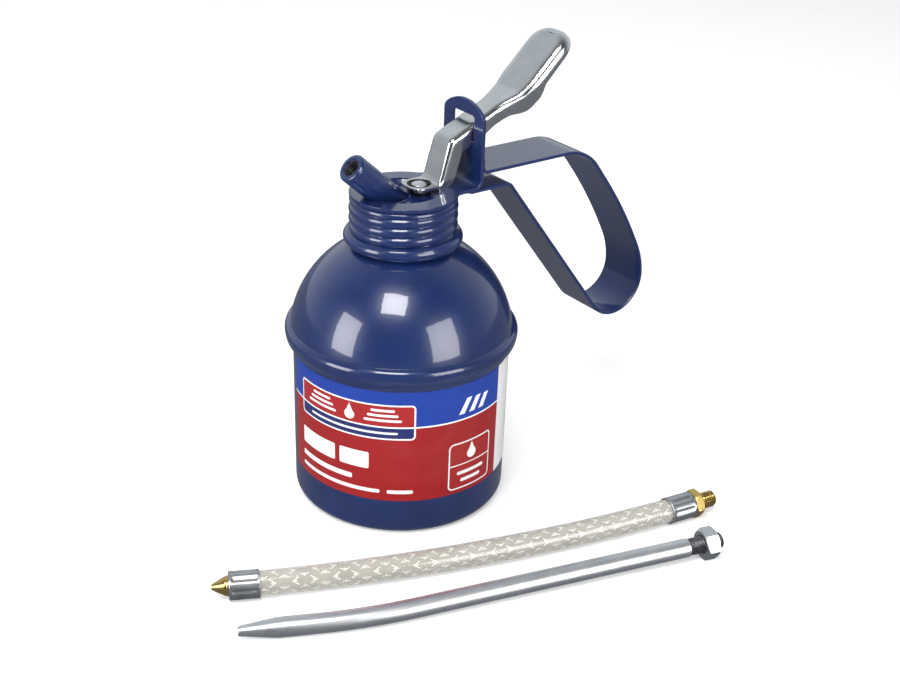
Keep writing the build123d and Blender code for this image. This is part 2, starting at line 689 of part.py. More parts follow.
with BuildPart() as thumb_lever:
    add(lever_skin.part)
    add(lever_skirt.part)
    # slot for the rod: it lets the lever swing while the rod stays upright
    with BuildSketch(Plane.XY.offset(TAB_Z - 1)):
        with Locations((STEM_X + 1.5, 0)):
            SlotOverall(6.8, 2 * ROD_R + 0.4)
    extrude(amount=8, mode=Mode.SUBTRACT)
    # notches that rock on the window's lower edge
    with BuildSketch(Plane.XZ):
        with BuildLine():
            Polyline(
                (PIVOT_X - 1.7, WINDOW_Z[0] - 2),
                (PIVOT_X + 1.7, WINDOW_Z[0] - 2),
                (PIVOT_X + 1.1, WINDOW_Z[0] + 0.35),
                (PIVOT_X - 1.1, WINDOW_Z[0] + 0.35),
                close=True,
            )
        make_face()
    extrude(amount=LEVER_NECK_W, both=True, mode=Mode.SUBTRACT)
thumb_lever.part.label = "thumb_lever"
export_step(thumb_lever.part, "parts/thumb_lever.step")


# ---------------------------------------------------------------- rigid spout
# The nut rests on a flat, the far end on the tube, so the tube leans very slightly.
taper_at = TUBE_STRAIGHT + TUBE_BEND_R * radians(TUBE_BEND_DEG) + TUBE_TIP_STRAIGHT
nut_mid = NUT_START + NUT_T / 2
lean = (NUT_AF / 2 - TUBE_R) / (taper_at - nut_mid)
tube_axis = Plane(
    origin=(TUBE_END[0], TUBE_END[1], NUT_AF / 2 + 0.05 + nut_mid * lean),
    x_dir=(cos(TUBE_HEADING), sin(TUBE_HEADING), -lean),
    z_dir=(cos(TUBE_HEADING) * lean, sin(TUBE_HEADING) * lean, 1),
)
with BuildLine(tube_axis, mode=Mode.PRIVATE) as tube_path:
    tube_run = Line((TUBE_THREAD_LEN, 0), (TUBE_STRAIGHT, 0))
    tube_bend = JernArc(tube_run @ 1, tube_run % 1, TUBE_BEND_R, -TUBE_BEND_DEG)
    Line(tube_bend @ 1, tube_bend @ 1 + (tube_bend % 1) * TUBE_TIP_STRAIGHT)
tube_wire = tube_path.wire()
tip_axis = Plane(origin=tube_wire @ 1, x_dir=tube_wire % 1, z_dir=tube_axis.z_dir)

with BuildPart() as rigid_spout_tube:
    with BuildSketch(Plane(origin=tube_wire @ 0, z_dir=tube_wire % 0)):
        Circle(TUBE_R)
        Circle(TUBE_BORE_R, mode=Mode.SUBTRACT)
    sweep(path=tube_wire)
    turned(
        tube_axis,
        [
            (0, TUBE_BORE_R),
            (0, M6_MAJOR_R - 0.5),
            (0.5, M6_MAJOR_R),
            (TUBE_THREAD_LEN, M6_MAJOR_R),
            (TUBE_THREAD_LEN, TUBE_BORE_R),
        ],
    )
    turned(
        tip_axis,
        [(0, TUBE_BORE_R), (0, TUBE_R), (TUBE_TAPER, TUBE_TIP_R), (TUBE_TAPER, TUBE_TIP_R - 0.8)],
    )
rigid_spout_tube.part.label = "rigid_spout_tube"
export_step(rigid_spout_tube.part, "parts/rigid_spout_tube.step")

with BuildPart() as rigid_spout_locknut:
    hex_bar(tube_axis, NUT_AF, NUT_START, NUT_T)
    bore(tube_axis, M6_MAJOR_R + 0.04, NUT_START - 1, NUT_START + NUT_T + 1)
rigid_spout_locknut.part.label = "rigid_spout_locknut"
export_step(rigid_spout_locknut.part, "parts/rigid_spout_locknut.step")


# ---------------------------------------------------------------- flexible spout
hose_z = FERRULE_R + CLEAR
hose_plane = Plane.XY.offset(hose_z)
with BuildLine(hose_plane, mode=Mode.PRIVATE) as hose_line:
    hose_arc = ThreePointArc(HOSE_A, HOSE_M, HOSE_B)
hose_path = hose_line.edges()[0]
nozzle_axis = Plane(origin=hose_path @ 0, x_dir=-(hose_path % 0), z_dir=(0, 0, 1))
connector_axis = Plane(origin=hose_path @ 1, x_dir=hose_path % 1, z_dir=(0, 0, 1))
half_share = 0.5 - HOSE_GAP / 2 / hose_path.length


def hose_half(first, last):
    """Length of hose between two places on its centre line."""
    with BuildLine(mode=Mode.PRIVATE) as half:
        ThreePointArc(hose_path @ first, hose_path @ ((first + last) / 2), hose_path @ last)
    path = half.edges()[0]
    with BuildSketch(Plane(origin=path @ 0, z_dir=path % 0)) as section:
        Circle(HOSE_R)
        Circle(HOSE_BORE_R, mode=Mode.SUBTRACT)
    sweep(section.sketch, path=path)


with BuildPart() as flex_hose_front:
    hose_half(0, half_share)
flex_hose_front.part.label = "flex_hose_front"
export_step(flex_hose_front.part, "parts/flex_hose_front.step")

with BuildPart() as flex_hose_rear:
    hose_half(1 - half_share, 1)
flex_hose_rear.part.label = "flex_hose_rear"
export_step(flex_hose_rear.part, "parts/flex_hose_rear.step")


def ferrule(plane):
    """Crimped sleeve around the end of the hose."""
    bore(plane, FERRULE_R, -FERRULE_LEN, COLLAR_T, Mode.ADD)
    bore(plane, HOSE_R + 0.12, -FERRULE_LEN - 1, COLLAR_T + 1)


with BuildPart() as front_ferrule:
    ferrule(nozzle_axis)
front_ferrule.part.label = "front_ferrule"
export_step(front_ferrule.part, "parts/front_ferrule.step")

with BuildPart() as rear_ferrule:
    ferrule(connector_axis)
rear_ferrule.part.label = "rear_ferrule"
export_step(rear_ferrule.part, "parts/rear_ferrule.step")

tail_r = HOSE_BORE_R - 0.1
with BuildPart() as spout_nozzle:
    turned(
        nozzle_axis,
        [
            (-FERRULE_LEN + 1, 1.0),
            (-FERRULE_LEN + 1, tail_r - 0.4),
            (-FERRULE_LEN + 2, tail_r),
            (CLEAR, tail_r),
            (CLEAR, HOSE_R),
            (COLLAR_T, HOSE_R),
            (COLLAR_T, 3.35),
            (COLLAR_T + NOZZLE_LEN, 0.95),
            (COLLAR_T + NOZZLE_LEN, 0.5),
            (0, 0.5),
            (0, 1.0),
        ],
    )
spout_nozzle.part.label = "spout_nozzle"
export_step(spout_nozzle.part, "parts/spout_nozzle.step")

thread_start = COLLAR_T + HEX_T
thread_end = thread_start + SPOUT_THREAD_LEN
with BuildPart() as spout_connector:
    hex_bar(connector_axis, HEX_AF, COLLAR_T + CLEAR, HEX_T)
    turned(
        connector_axis,
        [
            (-FERRULE_LEN + 1, 1.0),
            (-FERRULE_LEN + 1, tail_r - 0.4),
            (-FERRULE_LEN + 2, tail_r),
            (CLEAR, tail_r),
            (CLEAR, HOSE_R),
            (COLLAR_T + 0.5, HOSE_R),
            (thread_start, M6_MAJOR_R),
            (thread_end - 0.5, M6_MAJOR_R),
            (thread_end, M6_MAJOR_R - 0.5),
            (thread_end, 1.0),
        ],
    )
    bore(connector_axis, 1.0, 0, thread_end + 1)
spout_connector.part.label = "spout_connector"
export_step(spout_connector.part, "parts/spout_connector.step")
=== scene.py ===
from functools import partialmethod
from math import asin, atan2, ceil, cos, degrees, exp, hypot, log, pi, radians, sin, sqrt, tan

import bmesh
import bpy
import numpy as np
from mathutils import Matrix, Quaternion, Vector


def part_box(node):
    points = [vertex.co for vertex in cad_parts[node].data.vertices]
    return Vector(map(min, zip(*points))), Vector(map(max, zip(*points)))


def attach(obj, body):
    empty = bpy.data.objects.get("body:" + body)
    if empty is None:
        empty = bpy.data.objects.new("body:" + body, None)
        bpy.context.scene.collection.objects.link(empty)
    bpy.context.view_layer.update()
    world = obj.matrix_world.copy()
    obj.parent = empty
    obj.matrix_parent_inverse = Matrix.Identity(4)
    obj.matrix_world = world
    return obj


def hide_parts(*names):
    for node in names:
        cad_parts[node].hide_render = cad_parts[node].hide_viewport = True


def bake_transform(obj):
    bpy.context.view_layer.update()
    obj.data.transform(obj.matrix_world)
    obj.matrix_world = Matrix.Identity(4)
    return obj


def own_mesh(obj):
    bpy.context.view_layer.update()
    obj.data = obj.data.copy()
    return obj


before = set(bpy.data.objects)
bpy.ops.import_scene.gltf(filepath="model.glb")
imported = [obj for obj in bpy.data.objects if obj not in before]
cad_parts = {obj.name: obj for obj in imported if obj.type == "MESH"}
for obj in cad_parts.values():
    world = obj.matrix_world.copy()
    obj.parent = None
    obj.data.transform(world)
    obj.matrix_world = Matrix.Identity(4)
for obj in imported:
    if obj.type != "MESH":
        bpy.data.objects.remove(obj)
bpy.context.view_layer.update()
MM = 0.001
UP = Vector((0, 0, 1))

# ====================================================================== outlines


def cosd(angle):
    return cos(radians(angle))


def sind(angle):
    return sin(radians(angle))


def arc(cx, cy, radius, start, end, steps):
    """Points on an arc; angles in degrees."""
    angles = [start + (end - start) * k / steps for k in range(steps + 1)]
    return [(cx + radius * cosd(a), cy + radius * sind(a)) for a in angles]


def rounded(corners, closed=True, step=12.0):
    """A polyline through (x, y) or (x, y, radius) corners, with the corners rounded."""
    out = []
    count = len(corners)
    for i, corner in enumerate(corners):
        here = Vector(corner[:2])
        radius = corner[2] if len(corner) > 2 else 0.0
        if radius <= 0 or (not closed and i in (0, count - 1)):
            out.append(tuple(here))
            continue
        a = Vector(corners[i - 1][:2]) - here
        b = Vector(corners[(i + 1) % count][:2]) - here
        angle = a.angle(b)
        reach = min(radius / tan(angle / 2), a.length * 0.499, b.length * 0.499)
        radius = reach * tan(angle / 2)
        a.normalize()
        b.normalize()
        centre = here + (a + b).normalized() * (radius / sin(angle / 2))
        first, last = here + a * reach - centre, here + b * reach - centre
        start = atan2(first.y, first.x)
        turn = (atan2(last.y, last.x) - start + pi) % (2 * pi) - pi
        steps = max(2, ceil(abs(degrees(turn)) / step))
        out += arc(centre.x, centre.y, radius, degrees(start), degrees(start + turn), steps)
    return out


def corner_cut(gap, radius):
    """How much a strip with rounded corners has narrowed, at a distance from its end."""
    return radius - sqrt(max(radius**2 - max(radius - gap, 0.0) ** 2, 0.0))


def smooth_max(a, b, k):
    top = max(a, b)
    return top + k * log(exp((a - top) / k) + exp((b - top) / k))


def ease(x, start, end):
    """0 before start, 1 after end, and a soft change between them."""
    t = min(1.0, max(0.0, (x - start) / (end - start)))
    return t * t * (3 - 2 * t)


def table(x, pairs):
    """Soft steps through a short list of (x, value)."""
    if x <= pairs[0][0]:
        return pairs[0][1]
    for (x0, v0), (x1, v1) in zip(pairs, pairs[1:]):
        if x <= x1:
            return v0 + (v1 - v0) * ease(x, x0, x1)
    return pairs[-1][1]


def helix(angle, along, pitch=1.0, start=0.0):
    """0 on the crest of a one-start thread, 1 in its root."""
    return abs(2 * (((along - start) / pitch - angle / (2 * pi)) % 1.0) - 1)


# ====================================================================== meshes and objects


class Axis:
    """A line with a direction and two side vectors; points on it are given in millimetres."""

    def __init__(self, origin, direction, side):
        self.o = Vector(origin)
        self.d = Vector(direction).normalized()
        self.u = Vector(side)
        self.u = (self.u - self.d * self.u.dot(self.d)).normalized()
        self.w = self.d.cross(self.u)

    def at(self, along, radius=0.0, angle=0.0):
        return self.o + self.d * along + (self.u * cos(angle) + self.w * sin(angle)) * radius


def shade(mesh, sharp):
    """Outward faces and smooth shading, with edges sharper than the angle kept crisp."""
    bm = bmesh.new()
    bm.from_mesh(mesh)
    bmesh.ops.recalc_face_normals(bm, faces=bm.faces)
    for face in bm.faces:
        face.smooth = True
    for edge in bm.edges:
        if len(edge.link_faces) == 2:
            edge.smooth = edge.calc_face_angle(0) < radians(sharp)
    bm.to_mesh(mesh)
    bm.free()


def linked(name, data):
    obj = bpy.data.objects.new(name, data)
    bpy.context.scene.collection.objects.link(obj)
    return obj


def piece(mesh, finish, body=None, replaces=()):
    """An object with a finish, which rides on a body and stands for CAD nodes."""
    slot, material = FINISH[finish]
    mesh.materials.append(material)
    obj = linked(mesh.name, mesh)
    if body:
        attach(obj, body)
    if replaces:
        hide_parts(*replaces)
    return obj


def build(name, points, faces, finish, body=None, replaces=(), sharp=32.0, weld=1e-6):
    """A piece from points in millimetres."""
    mesh = bpy.data.meshes.new(name)
    mesh.from_pydata([Vector(p) * MM for p in points], [], faces)
    bm = bmesh.new()
    bm.from_mesh(mesh)
    bmesh.ops.remove_doubles(bm, verts=bm.verts, dist=weld)
    bmesh.ops.dissolve_degenerate(bm, edges=bm.edges, dist=1e-7)
    bm.to_mesh(mesh)
    bm.free()
    shade(mesh, sharp)
    return piece(mesh, finish, body, replaces)


def loft(rings, closed=False, hoop=True, capped=True):
    """Points and faces of a skin over equal rings; a closed one joins its last ring to its first."""
    count = len(rings[0])
    points = [p for ring in rings for p in ring]
    faces = []
    for i in range(len(rings) if closed else len(rings) - 1):
        a, b = i * count, (i + 1) % len(rings) * count
        for k in range(count if hoop else count - 1):
            m = (k + 1) % count
            if points[a + k] == points[b + k] and points[a + m] == points[b + m]:
                continue
            faces.append((a + k, b + k, b + m, a + m))
    if capped and not closed:
        faces += [tuple(reversed(range(count))), tuple(range(len(points) - count, len(points)))]
    return points, faces


def spun(name, outline, axis, finish, body=None, replaces=(), around=96, shape=None, sharp=32.0):
    """A closed outline of (along, radius) turned about an axis; shape may change each radius."""
    rings = []
    for k in range(around):
        angle = 2 * pi * k / around
        rings.append([axis.at(s, shape(angle, s, r) if shape and r else r, angle) for s, r in outline])
    return build(name, *loft(rings, closed=True), finish, body, replaces, sharp)


def prism(name, outline, half, finish):
    """An outline of (x, z) made thick along Y, to half each way."""
    return build(name, *loft([[(x, y, z) for x, z in outline] for y in (-half, half)]), finish)


def weighted(obj):
    """Normals that keep large flat faces flat next to rounded edges."""
    modifier = obj.modifiers.new("even_normals", "WEIGHTED_NORMAL")
    modifier.keep_sharp = True
    modifier.weight = 80


def carve(obj, tool):
    """Cuts a tool out of an object; the cut faces take the tool's finish."""
    cut = obj.modifiers.new("cut", "BOOLEAN")
    cut.operation, cut.solver, cut.object = "DIFFERENCE", "EXACT", tool
    cut.material_mode, cut.use_self = "TRANSFER", True
    bpy.context.view_layer.update()
    evaluated = obj.evaluated_get(bpy.context.evaluated_depsgraph_get())
    mesh = bpy.data.meshes.new_from_object(evaluated)
    obj.modifiers.clear()
    obj.data = mesh
    bpy.data.objects.remove(tool)


# ====================================================================== node materials


def shader(tree, kind, inputs=None, **settings):
    """A new shader node; each of its inputs takes a value or another node's output."""
    node = tree.nodes.new("ShaderNode" + kind)
    for key, value in settings.items():
        setattr(node, key, value)
    for key, value in (inputs or {}).items():
        if isinstance(value, Sock):
            value = value.socket
        if isinstance(value, bpy.types.NodeSocket):
            tree.links.new(value, node.inputs[key])
        else:
            node.inputs[key].default_value = value
    return node


class Sock:
    """A shader value with ordinary arithmetic."""

    def __init__(self, tree, socket):
        self.tree, self.socket = tree, socket

    def _math(self, op, *others):
        node = shader(self.tree, "Math", dict(enumerate((self, *others))), operation=op)
        return Sock(self.tree, node.outputs[0])

    __add__ = partialmethod(_math, "ADD")
    __sub__ = partialmethod(_math, "SUBTRACT")
    __mul__ = partialmethod(_math, "MULTIPLY")
    __truediv__ = partialmethod(_math, "DIVIDE")
    max = partialmethod(_math, "MAXIMUM")
    min = partialmethod(_math, "MINIMUM")
    abs = partialmethod(_math, "ABSOLUTE")
    root = partialmethod(_math, "SQRT")
    power = partialmethod(_math, "POWER")
    sine = partialmethod(_math, "SINE")
    modulo = partialmethod(_math, "FLOORED_MODULO")
    angle = partialmethod(_math, "ARCTAN2")

    def clamp(self):
        return self.max(0.0).min(1.0)

    def step(self, low, high):
        """0 below low, 1 above high."""
        return ((self - low) / (high - low)).clamp()

    def near(self, centre, reach, soft):
        """1 within reach of a centre, 0 beyond reach + soft."""
        return ((self - centre).abs() * -1.0).step(-reach - soft, -reach)


class Mat:
    """A Principled material with helpers for its node tree."""

    def __init__(self, name, base, rough, metal=0.0, **inputs):
        self.mat = bpy.data.materials.new(name)
        self.mat.use_nodes = True
        self.tree = self.mat.node_tree
        self.bsdf = self.tree.nodes["Principled BSDF"]
        self.bsdf.inputs["Base Color"].default_value = (*base, 1)
        self.bsdf.inputs["Roughness"].default_value = rough
        self.bsdf.inputs["Metallic"].default_value = metal
        for key, value in inputs.items():
            self.bsdf.inputs[key.replace("_", " ")].default_value = value
        self.coords = shader(self.tree, "TexCoord").outputs["Object"]

    def xyz(self):
        """Object coordinates in millimetres."""
        split = shader(self.tree, "SeparateXYZ", {0: self.coords})
        return [Sock(self.tree, s) * 1000.0 for s in split.outputs]

    def noise(self, size_mm, detail, stretch=(1, 1, 1)):
        mapping = shader(self.tree, "Mapping", {0: self.coords, "Scale": stretch})
        node = shader(self.tree, "TexNoise", {"Vector": mapping.outputs[0], "Scale": 1000.0 / size_mm,
                                              "Detail": detail})
        return Sock(self.tree, node.outputs[0])

    def attribute(self, name):
        return Sock(self.tree, shader(self.tree, "Attribute", attribute_name=name).outputs["Fac"])

    def mix(self, factor, a, b):
        """Colour mix; a and b are colours or earlier mixes."""
        a, b = (c if isinstance(c, Sock) else (*c, 1) for c in (a, b))
        node = shader(self.tree, "Mix", {0: factor, 6: a, 7: b}, data_type="RGBA")
        return Sock(self.tree, node.outputs[2])

    def set(self, name, value):
        self.tree.links.new(value.socket, self.bsdf.inputs[name])

    def bump(self, height, depth_mm, under=None):
        """Relief of the given depth from a 0 to 1 height, over another relief if there is one."""
        inputs = {"Height": height, "Distance": depth_mm * MM, "Strength": 1.0}
        if under:
            inputs["Normal"] = under
        relief = Sock(self.tree, shader(self.tree, "Bump", inputs).outputs[0])
        self.set("Normal", relief)
        self.set("Coat Normal", relief)
        return relief


def enamel():
    """Deep blue stove enamel with a faint orange-peel surface."""
    m = Mat("blue_enamel", (0.016, 0.035, 0.2), 0.3, Coat_Weight=1.0, Coat_Roughness=0.04, Coat_IOR=1.5)
    tone = m.noise(9.0, 4.0).step(0.3, 0.75)
    m.set("Base Color", m.mix(tone, (0.0050, 0.0155, 0.078), (0.0068, 0.0205, 0.098)))
    m.set("Roughness", m.noise(1.2, 5.0) * 0.12 + 0.24)
    m.set("Coat Roughness", m.noise(3.0, 4.0) * 0.05 + 0.02)
    peel = m.bump(m.noise(1.6, 2.0), 0.006)
    m.bump(m.noise(11.0, 2.0), 0.05, peel)
    return m.mat


def plated(name, base, dark, rough, streak, grain, direction=(1, 1, 1)):
    """Bright plated or polished metal with faint streaks and specks."""
    m = Mat(name, base, rough, 1.0)
    tone = m.mix(m.noise(6.0, 4.0).step(0.35, 0.75), base, dark)
    speck = m.noise(0.5, 2.0).step(0.68, 0.78)
    m.set("Base Color", m.mix(speck * 0.35, tone, tuple(c * 0.45 for c in dark)))
    m.set("Roughness", m.noise(1.5, 5.0, direction) * streak * 2 + (rough - streak))
    m.bump(m.noise(0.45, 3.0, direction), grain)
    return m.mat


def plain(name, base, rough, metal=0.0, size=2.0, depth=0.01, spread=0.25):
    """A material whose tone, roughness and relief vary a little."""
    m = Mat(name, base, rough, metal)
    low, high = (tuple(min(1.0, c * share) for c in base) for share in (1 - spread, 1 + spread))
    m.set("Base Color", m.mix(m.noise(size, 4.0).step(0.3, 0.7), low, high))
    m.set("Roughness", m.noise(size * 0.5, 4.0) * 0.2 + (rough - 0.1))
    m.bump(m.noise(size * 0.25, 3.0), depth)
    return m.mat


LABEL_START, LABEL_R, LABEL_TURN = 163.6, 38.08, 340.0
LABEL_MM_PER_DEG = LABEL_R * pi / 180


def label_print():
    """Red and blue printed label with white rules and plain panels; no lettering."""
    m = Mat("label_print", (0.4, 0.02, 0.02), 0.42, Coat_Weight=0.35, Coat_Roughness=0.15)
    x, y, z = m.xyz()
    s = (y.angle(x) * (180 / pi) - LABEL_START).modulo(360.0) * LABEL_MM_PER_DEG
    edge = 0.07
    band_z = 43.5

    def inside(cx, cz, width, height, corner):
        """1 inside a rounded rectangle."""
        p = ((s - cx).abs() - (width / 2 - corner)).max(0.0)
        q = ((z - cz).abs() - (height / 2 - corner)).max(0.0)
        far = (p * p + q * q).root() - corner
        return (far * -1.0).step(-edge, edge)

    def ring(cx, cz, width, height, corner, line):
        hole = inside(cx, cz, width - 2 * line, height - 2 * line, corner - line)
        return (inside(cx, cz, width, height, corner) - hole).clamp()

    def drop(cx, cz, size):
        """An oil drop: a disc below, closing to a point above."""
        across = ((s - cx) / size).abs()
        rise = (z - cz) / size
        disc = ((across.power(2.0) + (rise + 0.35).power(2.0)).root() * -1.0).step(-0.66, -0.62)
        half = ((rise * -0.45 + 0.55).max(0.0) * 0.9 - across) * 8.0
        cone = half.clamp() * rise.step(-0.12, -0.08) * (rise * -1.0).step(-1.2, -1.16)
        return disc.max(cone).clamp()

    def over(under, mask, ink=(0.78, 0.79, 0.80)):
        return m.mix(mask, under, ink)

    red = m.mix(m.noise(5.0, 3.0), (0.26, 0.004, 0.005), (0.30, 0.005, 0.006))
    blue = m.mix(m.noise(5.0, 3.0), (0.004, 0.034, 0.27), (0.005, 0.040, 0.31))
    above = z.step(band_z - edge, band_z + edge)
    rule = z.near(band_z, 0.2, 0.15)
    colour = over(m.mix(above, red, blue), rule)
    # badge: a red over navy panel with a white outline, a drop and bars beside it
    badge = (30.0, 45.4, 46.0, 13.4, 1.6)
    colour = over(colour, inside(*badge), m.mix(above, (0.012, 0.020, 0.12), (0.32, 0.010, 0.011)))
    colour = over(colour, (rule * inside(*badge)).clamp())
    colour = over(colour, ring(*badge, 0.55))
    colour = over(colour, drop(30.0, 47.6, 2.9))
    for k in range(3):
        for cx in (18.2, 41.8):
            colour = over(colour, inside(cx, 46.0 + k * 1.9, 13.0 - k * 2.4, 0.9, 0.4))
    colour = over(colour, inside(30.0, 41.2, 34.0, 0.8, 0.4))
    # plain bars where a label would carry its words
    for bar in ((15.6, 29.8, 17.0, 6.4), (31.6, 29.8, 11.0, 6.4), (19.0, 22.4, 24.0, 1.9),
                (24.0, 18.0, 34.0, 1.4), (48.0, 18.0, 9.0, 1.4)):
        colour = over(colour, inside(*bar, 0.6))
    # slanted stripes on the blue band
    slant = s - z * 0.55
    for k in range(3):
        top = 51.5 - k * 0.4
        span = (z.step(45.6, 45.75) * (z * -1.0).step(-top, 0.15 - top)).clamp()
        colour = over(colour, slant.near(44.5 + k * 4.2, 1.02, 0.13) * span)
    # measure panel: outline, middle rule and a drop over two short bars
    panel = (74.6, 25.2, 19.0, 18.6, 1.9)
    colour = over(colour, inside(*panel), (0.30, 0.009, 0.010))
    colour = over(colour, ring(*panel, 0.5))
    colour = over(colour, (z.near(25.6, 0.15, 0.1) * inside(*panel)).clamp())
    colour = over(colour, drop(74.6, 30.2, 3.1))
    for k in range(2):
        colour = over(colour, inside(74.6, 22.2 - k * 3.0, 12.0 - k * 3.0, 1.3, 0.6))
    # plain white end strip
    strip = (s.step(88.6 - edge, 88.6 + edge) * (s * -1.0).step(-108.0 - edge, -108.0 + edge)).clamp()
    colour = over(colour, strip, m.mix(m.noise(3.0, 4.0), (0.70, 0.71, 0.71), (0.80, 0.80, 0.80)))
    m.set("Base Color", colour)
    m.set("Roughness", m.noise(2.0, 4.0) * 0.12 + 0.26)
    m.bump(m.noise(2.2, 3.0), 0.006)
    return m.mat


def clear_sleeve():
    """Thin clear plastic: see-through from the front, milky with a faint sheen at glancing angles."""
    mat = bpy.data.materials.new("clear_sleeve")
    mat.use_nodes = True
    tree = mat.node_tree
    tree.nodes.clear()
    coords = shader(tree, "TexCoord").outputs["Object"]
    noise = shader(tree, "TexNoise", {"Vector": coords, "Scale": 500.0})
    bump = shader(tree, "Bump", {"Height": noise.outputs[0], "Distance": 0.00004}).outputs[0]
    through = shader(tree, "BsdfTransparent", {0: (0.995, 0.99, 0.98, 1)})
    milk = shader(tree, "BsdfDiffuse", {0: (0.70, 0.70, 0.66, 1)})
    shine = shader(tree, "BsdfGlossy", {"Roughness": 0.12, "Normal": bump})
    facing = shader(tree, "LayerWeight", {"Blend": 0.30}).outputs["Facing"]
    veil = Sock(tree, facing) * 0.55 + 0.02
    haze = shader(tree, "MixShader", {0: veil, 1: through.outputs[0], 2: milk.outputs[0]})
    sheen = Sock(tree, shader(tree, "Fresnel", {"IOR": 1.5, "Normal": bump}).outputs[0]).min(0.10)
    mix = shader(tree, "MixShader", {0: sheen, 1: haze.outputs[0], 2: shine.outputs[0]})
    shader(tree, "OutputMaterial", {0: mix.outputs[0]})
    return mat


def braid_material():
    """Flat bundles of pale filament, whiter along their edges, with a faint painted glow that is strongest
    along the edges.
    """
    m = Mat("hose_braid", (0.7, 0.69, 0.64), 0.35, Coat_Weight=0.3)
    rim = m.attribute("across").abs().step(0.74, 0.86)
    streak = (m.attribute("fibre") * 37.0).sine() * 0.5 + 0.5
    body = m.mix(m.noise(7.0, 3.0).step(0.35, 0.7), (0.46, 0.45, 0.40), (0.57, 0.56, 0.52))
    body = m.mix(streak * 0.2, body, (0.68, 0.67, 0.62))
    body = m.mix(m.noise(9.0, 2.0).step(0.63, 0.72) * 0.5, body, (0.46, 0.33, 0.27))
    m.set("Base Color", m.mix(rim, body, (0.98, 0.98, 0.96)))
    # painted glow: the braid emits a little light, most along the strands' edges
    m.bsdf.inputs["Emission Color"].default_value = (1, 1, 0.97, 1)
    m.set("Emission Strength", rim * 0.14 + 0.01)
    m.bump(streak, 0.05)
    return m.mat


# finish: (its material slot, the material)
FINISH = {
    "enamel": ("blue_enamel", enamel()),
    "label": ("label_print", label_print()),
    "nickel": ("nickel_plate", plated("nickel_plate", (0.76, 0.77, 0.77), (0.66, 0.68, 0.68), 0.20, 0.05,
                                      0.0012)),
    "tube": ("nickel_plate", plated("spout_steel", (0.80, 0.81, 0.82), (0.68, 0.70, 0.71), 0.38, 0.08, 0.004,
                                    (0.25, 3.0, 1.0))),
    "zinc": ("zinc_plate", plated("zinc_plate", (0.70, 0.72, 0.72), (0.55, 0.57, 0.58), 0.34, 0.08, 0.008)),
    # thread: dark grey, painted shade for the shadow in the thread's grooves
    "thread": ("nickel_plate", plain("thread_painted_shade", (0.20, 0.20, 0.21), 0.42, 1.0, 1.0, 0.01)),
    "brass": ("brass", plated("brass", (0.78, 0.56, 0.20), (0.62, 0.42, 0.13), 0.22, 0.06, 0.004)),
    "crimp": ("aluminium", plated("crimped_aluminium", (0.62, 0.63, 0.64), (0.42, 0.44, 0.45), 0.34, 0.08,
                                  0.02)),
    "steel": ("steel", plated("bright_steel", (0.86, 0.87, 0.88), (0.74, 0.75, 0.76), 0.42, 0.06, 0.004)),
    "rubber": ("gasket_rubber", plain("black_rubber", (0.018, 0.018, 0.019), 0.6, size=1.2, depth=0.02)),
    "black": ("black_plastic", plain("black_plastic", (0.012, 0.012, 0.013), 0.4, size=1.0, depth=0.01)),
    # bore: near black, painted shade for the inside of the spigot's mouth and of the lever's dish
    "bore": ("nickel_plate", plain("bore_painted_shade", (0.035, 0.036, 0.04), 0.45, 0.6, 0.8, 0.01)),
    "core": ("braided_hose", plain("hose_core", (0.34, 0.28, 0.23), 0.45, size=3.0, depth=0.02, spread=0.5)),
    "braid": ("braided_hose", braid_material()),
    "sleeve": ("braided_hose", clear_sleeve()),
}

# ====================================================================== can

CAN = Axis((0, 0, 0), UP, (1, 0, 0))
DOME_R, DOME_Z, DOME_SHEET = 39.5, 59.0, 0.7
BEAD_R, BEAD_Z = 40.8, 63.5
NECK_R, NECK_BORE_R = 16.2, 15.5
PITCH, THREAD_Z = 3.3, 100.748      # rolled thread of neck and cap


def bead(z):
    """Seam bead: a wide curve below its widest line, a tight one above."""
    arc_r = 2.5 if z > BEAD_Z else 9.0
    past = max(z - BEAD_Z - arc_r, 0.0)
    return BEAD_R - arc_r + sqrt(max(arc_r**2 - (z - BEAD_Z) ** 2, 0.0)) - 4 * past


def dome(z, inset=0.0):
    ball = sqrt(max((DOME_R - inset) ** 2 - (z - DOME_Z) ** 2, 0.0))
    return smooth_max(ball, bead(z) - inset, 0.12)


def neck_thread(angle, z, r):
    if abs(r - NECK_R) > 0.02 or z < 97.8:
        return r
    rib = (1 - helix(angle, z, PITCH, THREAD_Z) ** 2) ** 2
    return r + 0.5 * rib * ease(z, 99.0, 100.0) * (1 - ease(z, 107.8, 108.8))


cup = rounded([
    (0.8, 0), (0.8, 28.6, 0.9), (0.0, 29.7, 0.7), (0.0, 38.0, 7.4), (57.3, 38.0, 6.0), (60.9, 39.46, 5.0),
    (63.4, 39.95), (63.4, 39.2), (60.9, 38.7, 5.0), (57.3, 37.3, 6.0),
    (0.9, 37.3, 6.5), (1.5, 28.0, 0.8), (1.5, 0)], step=5.0)
spun("can_cup_shell", cup, CAN, "enamel", "can", ["can_cup"], 256)

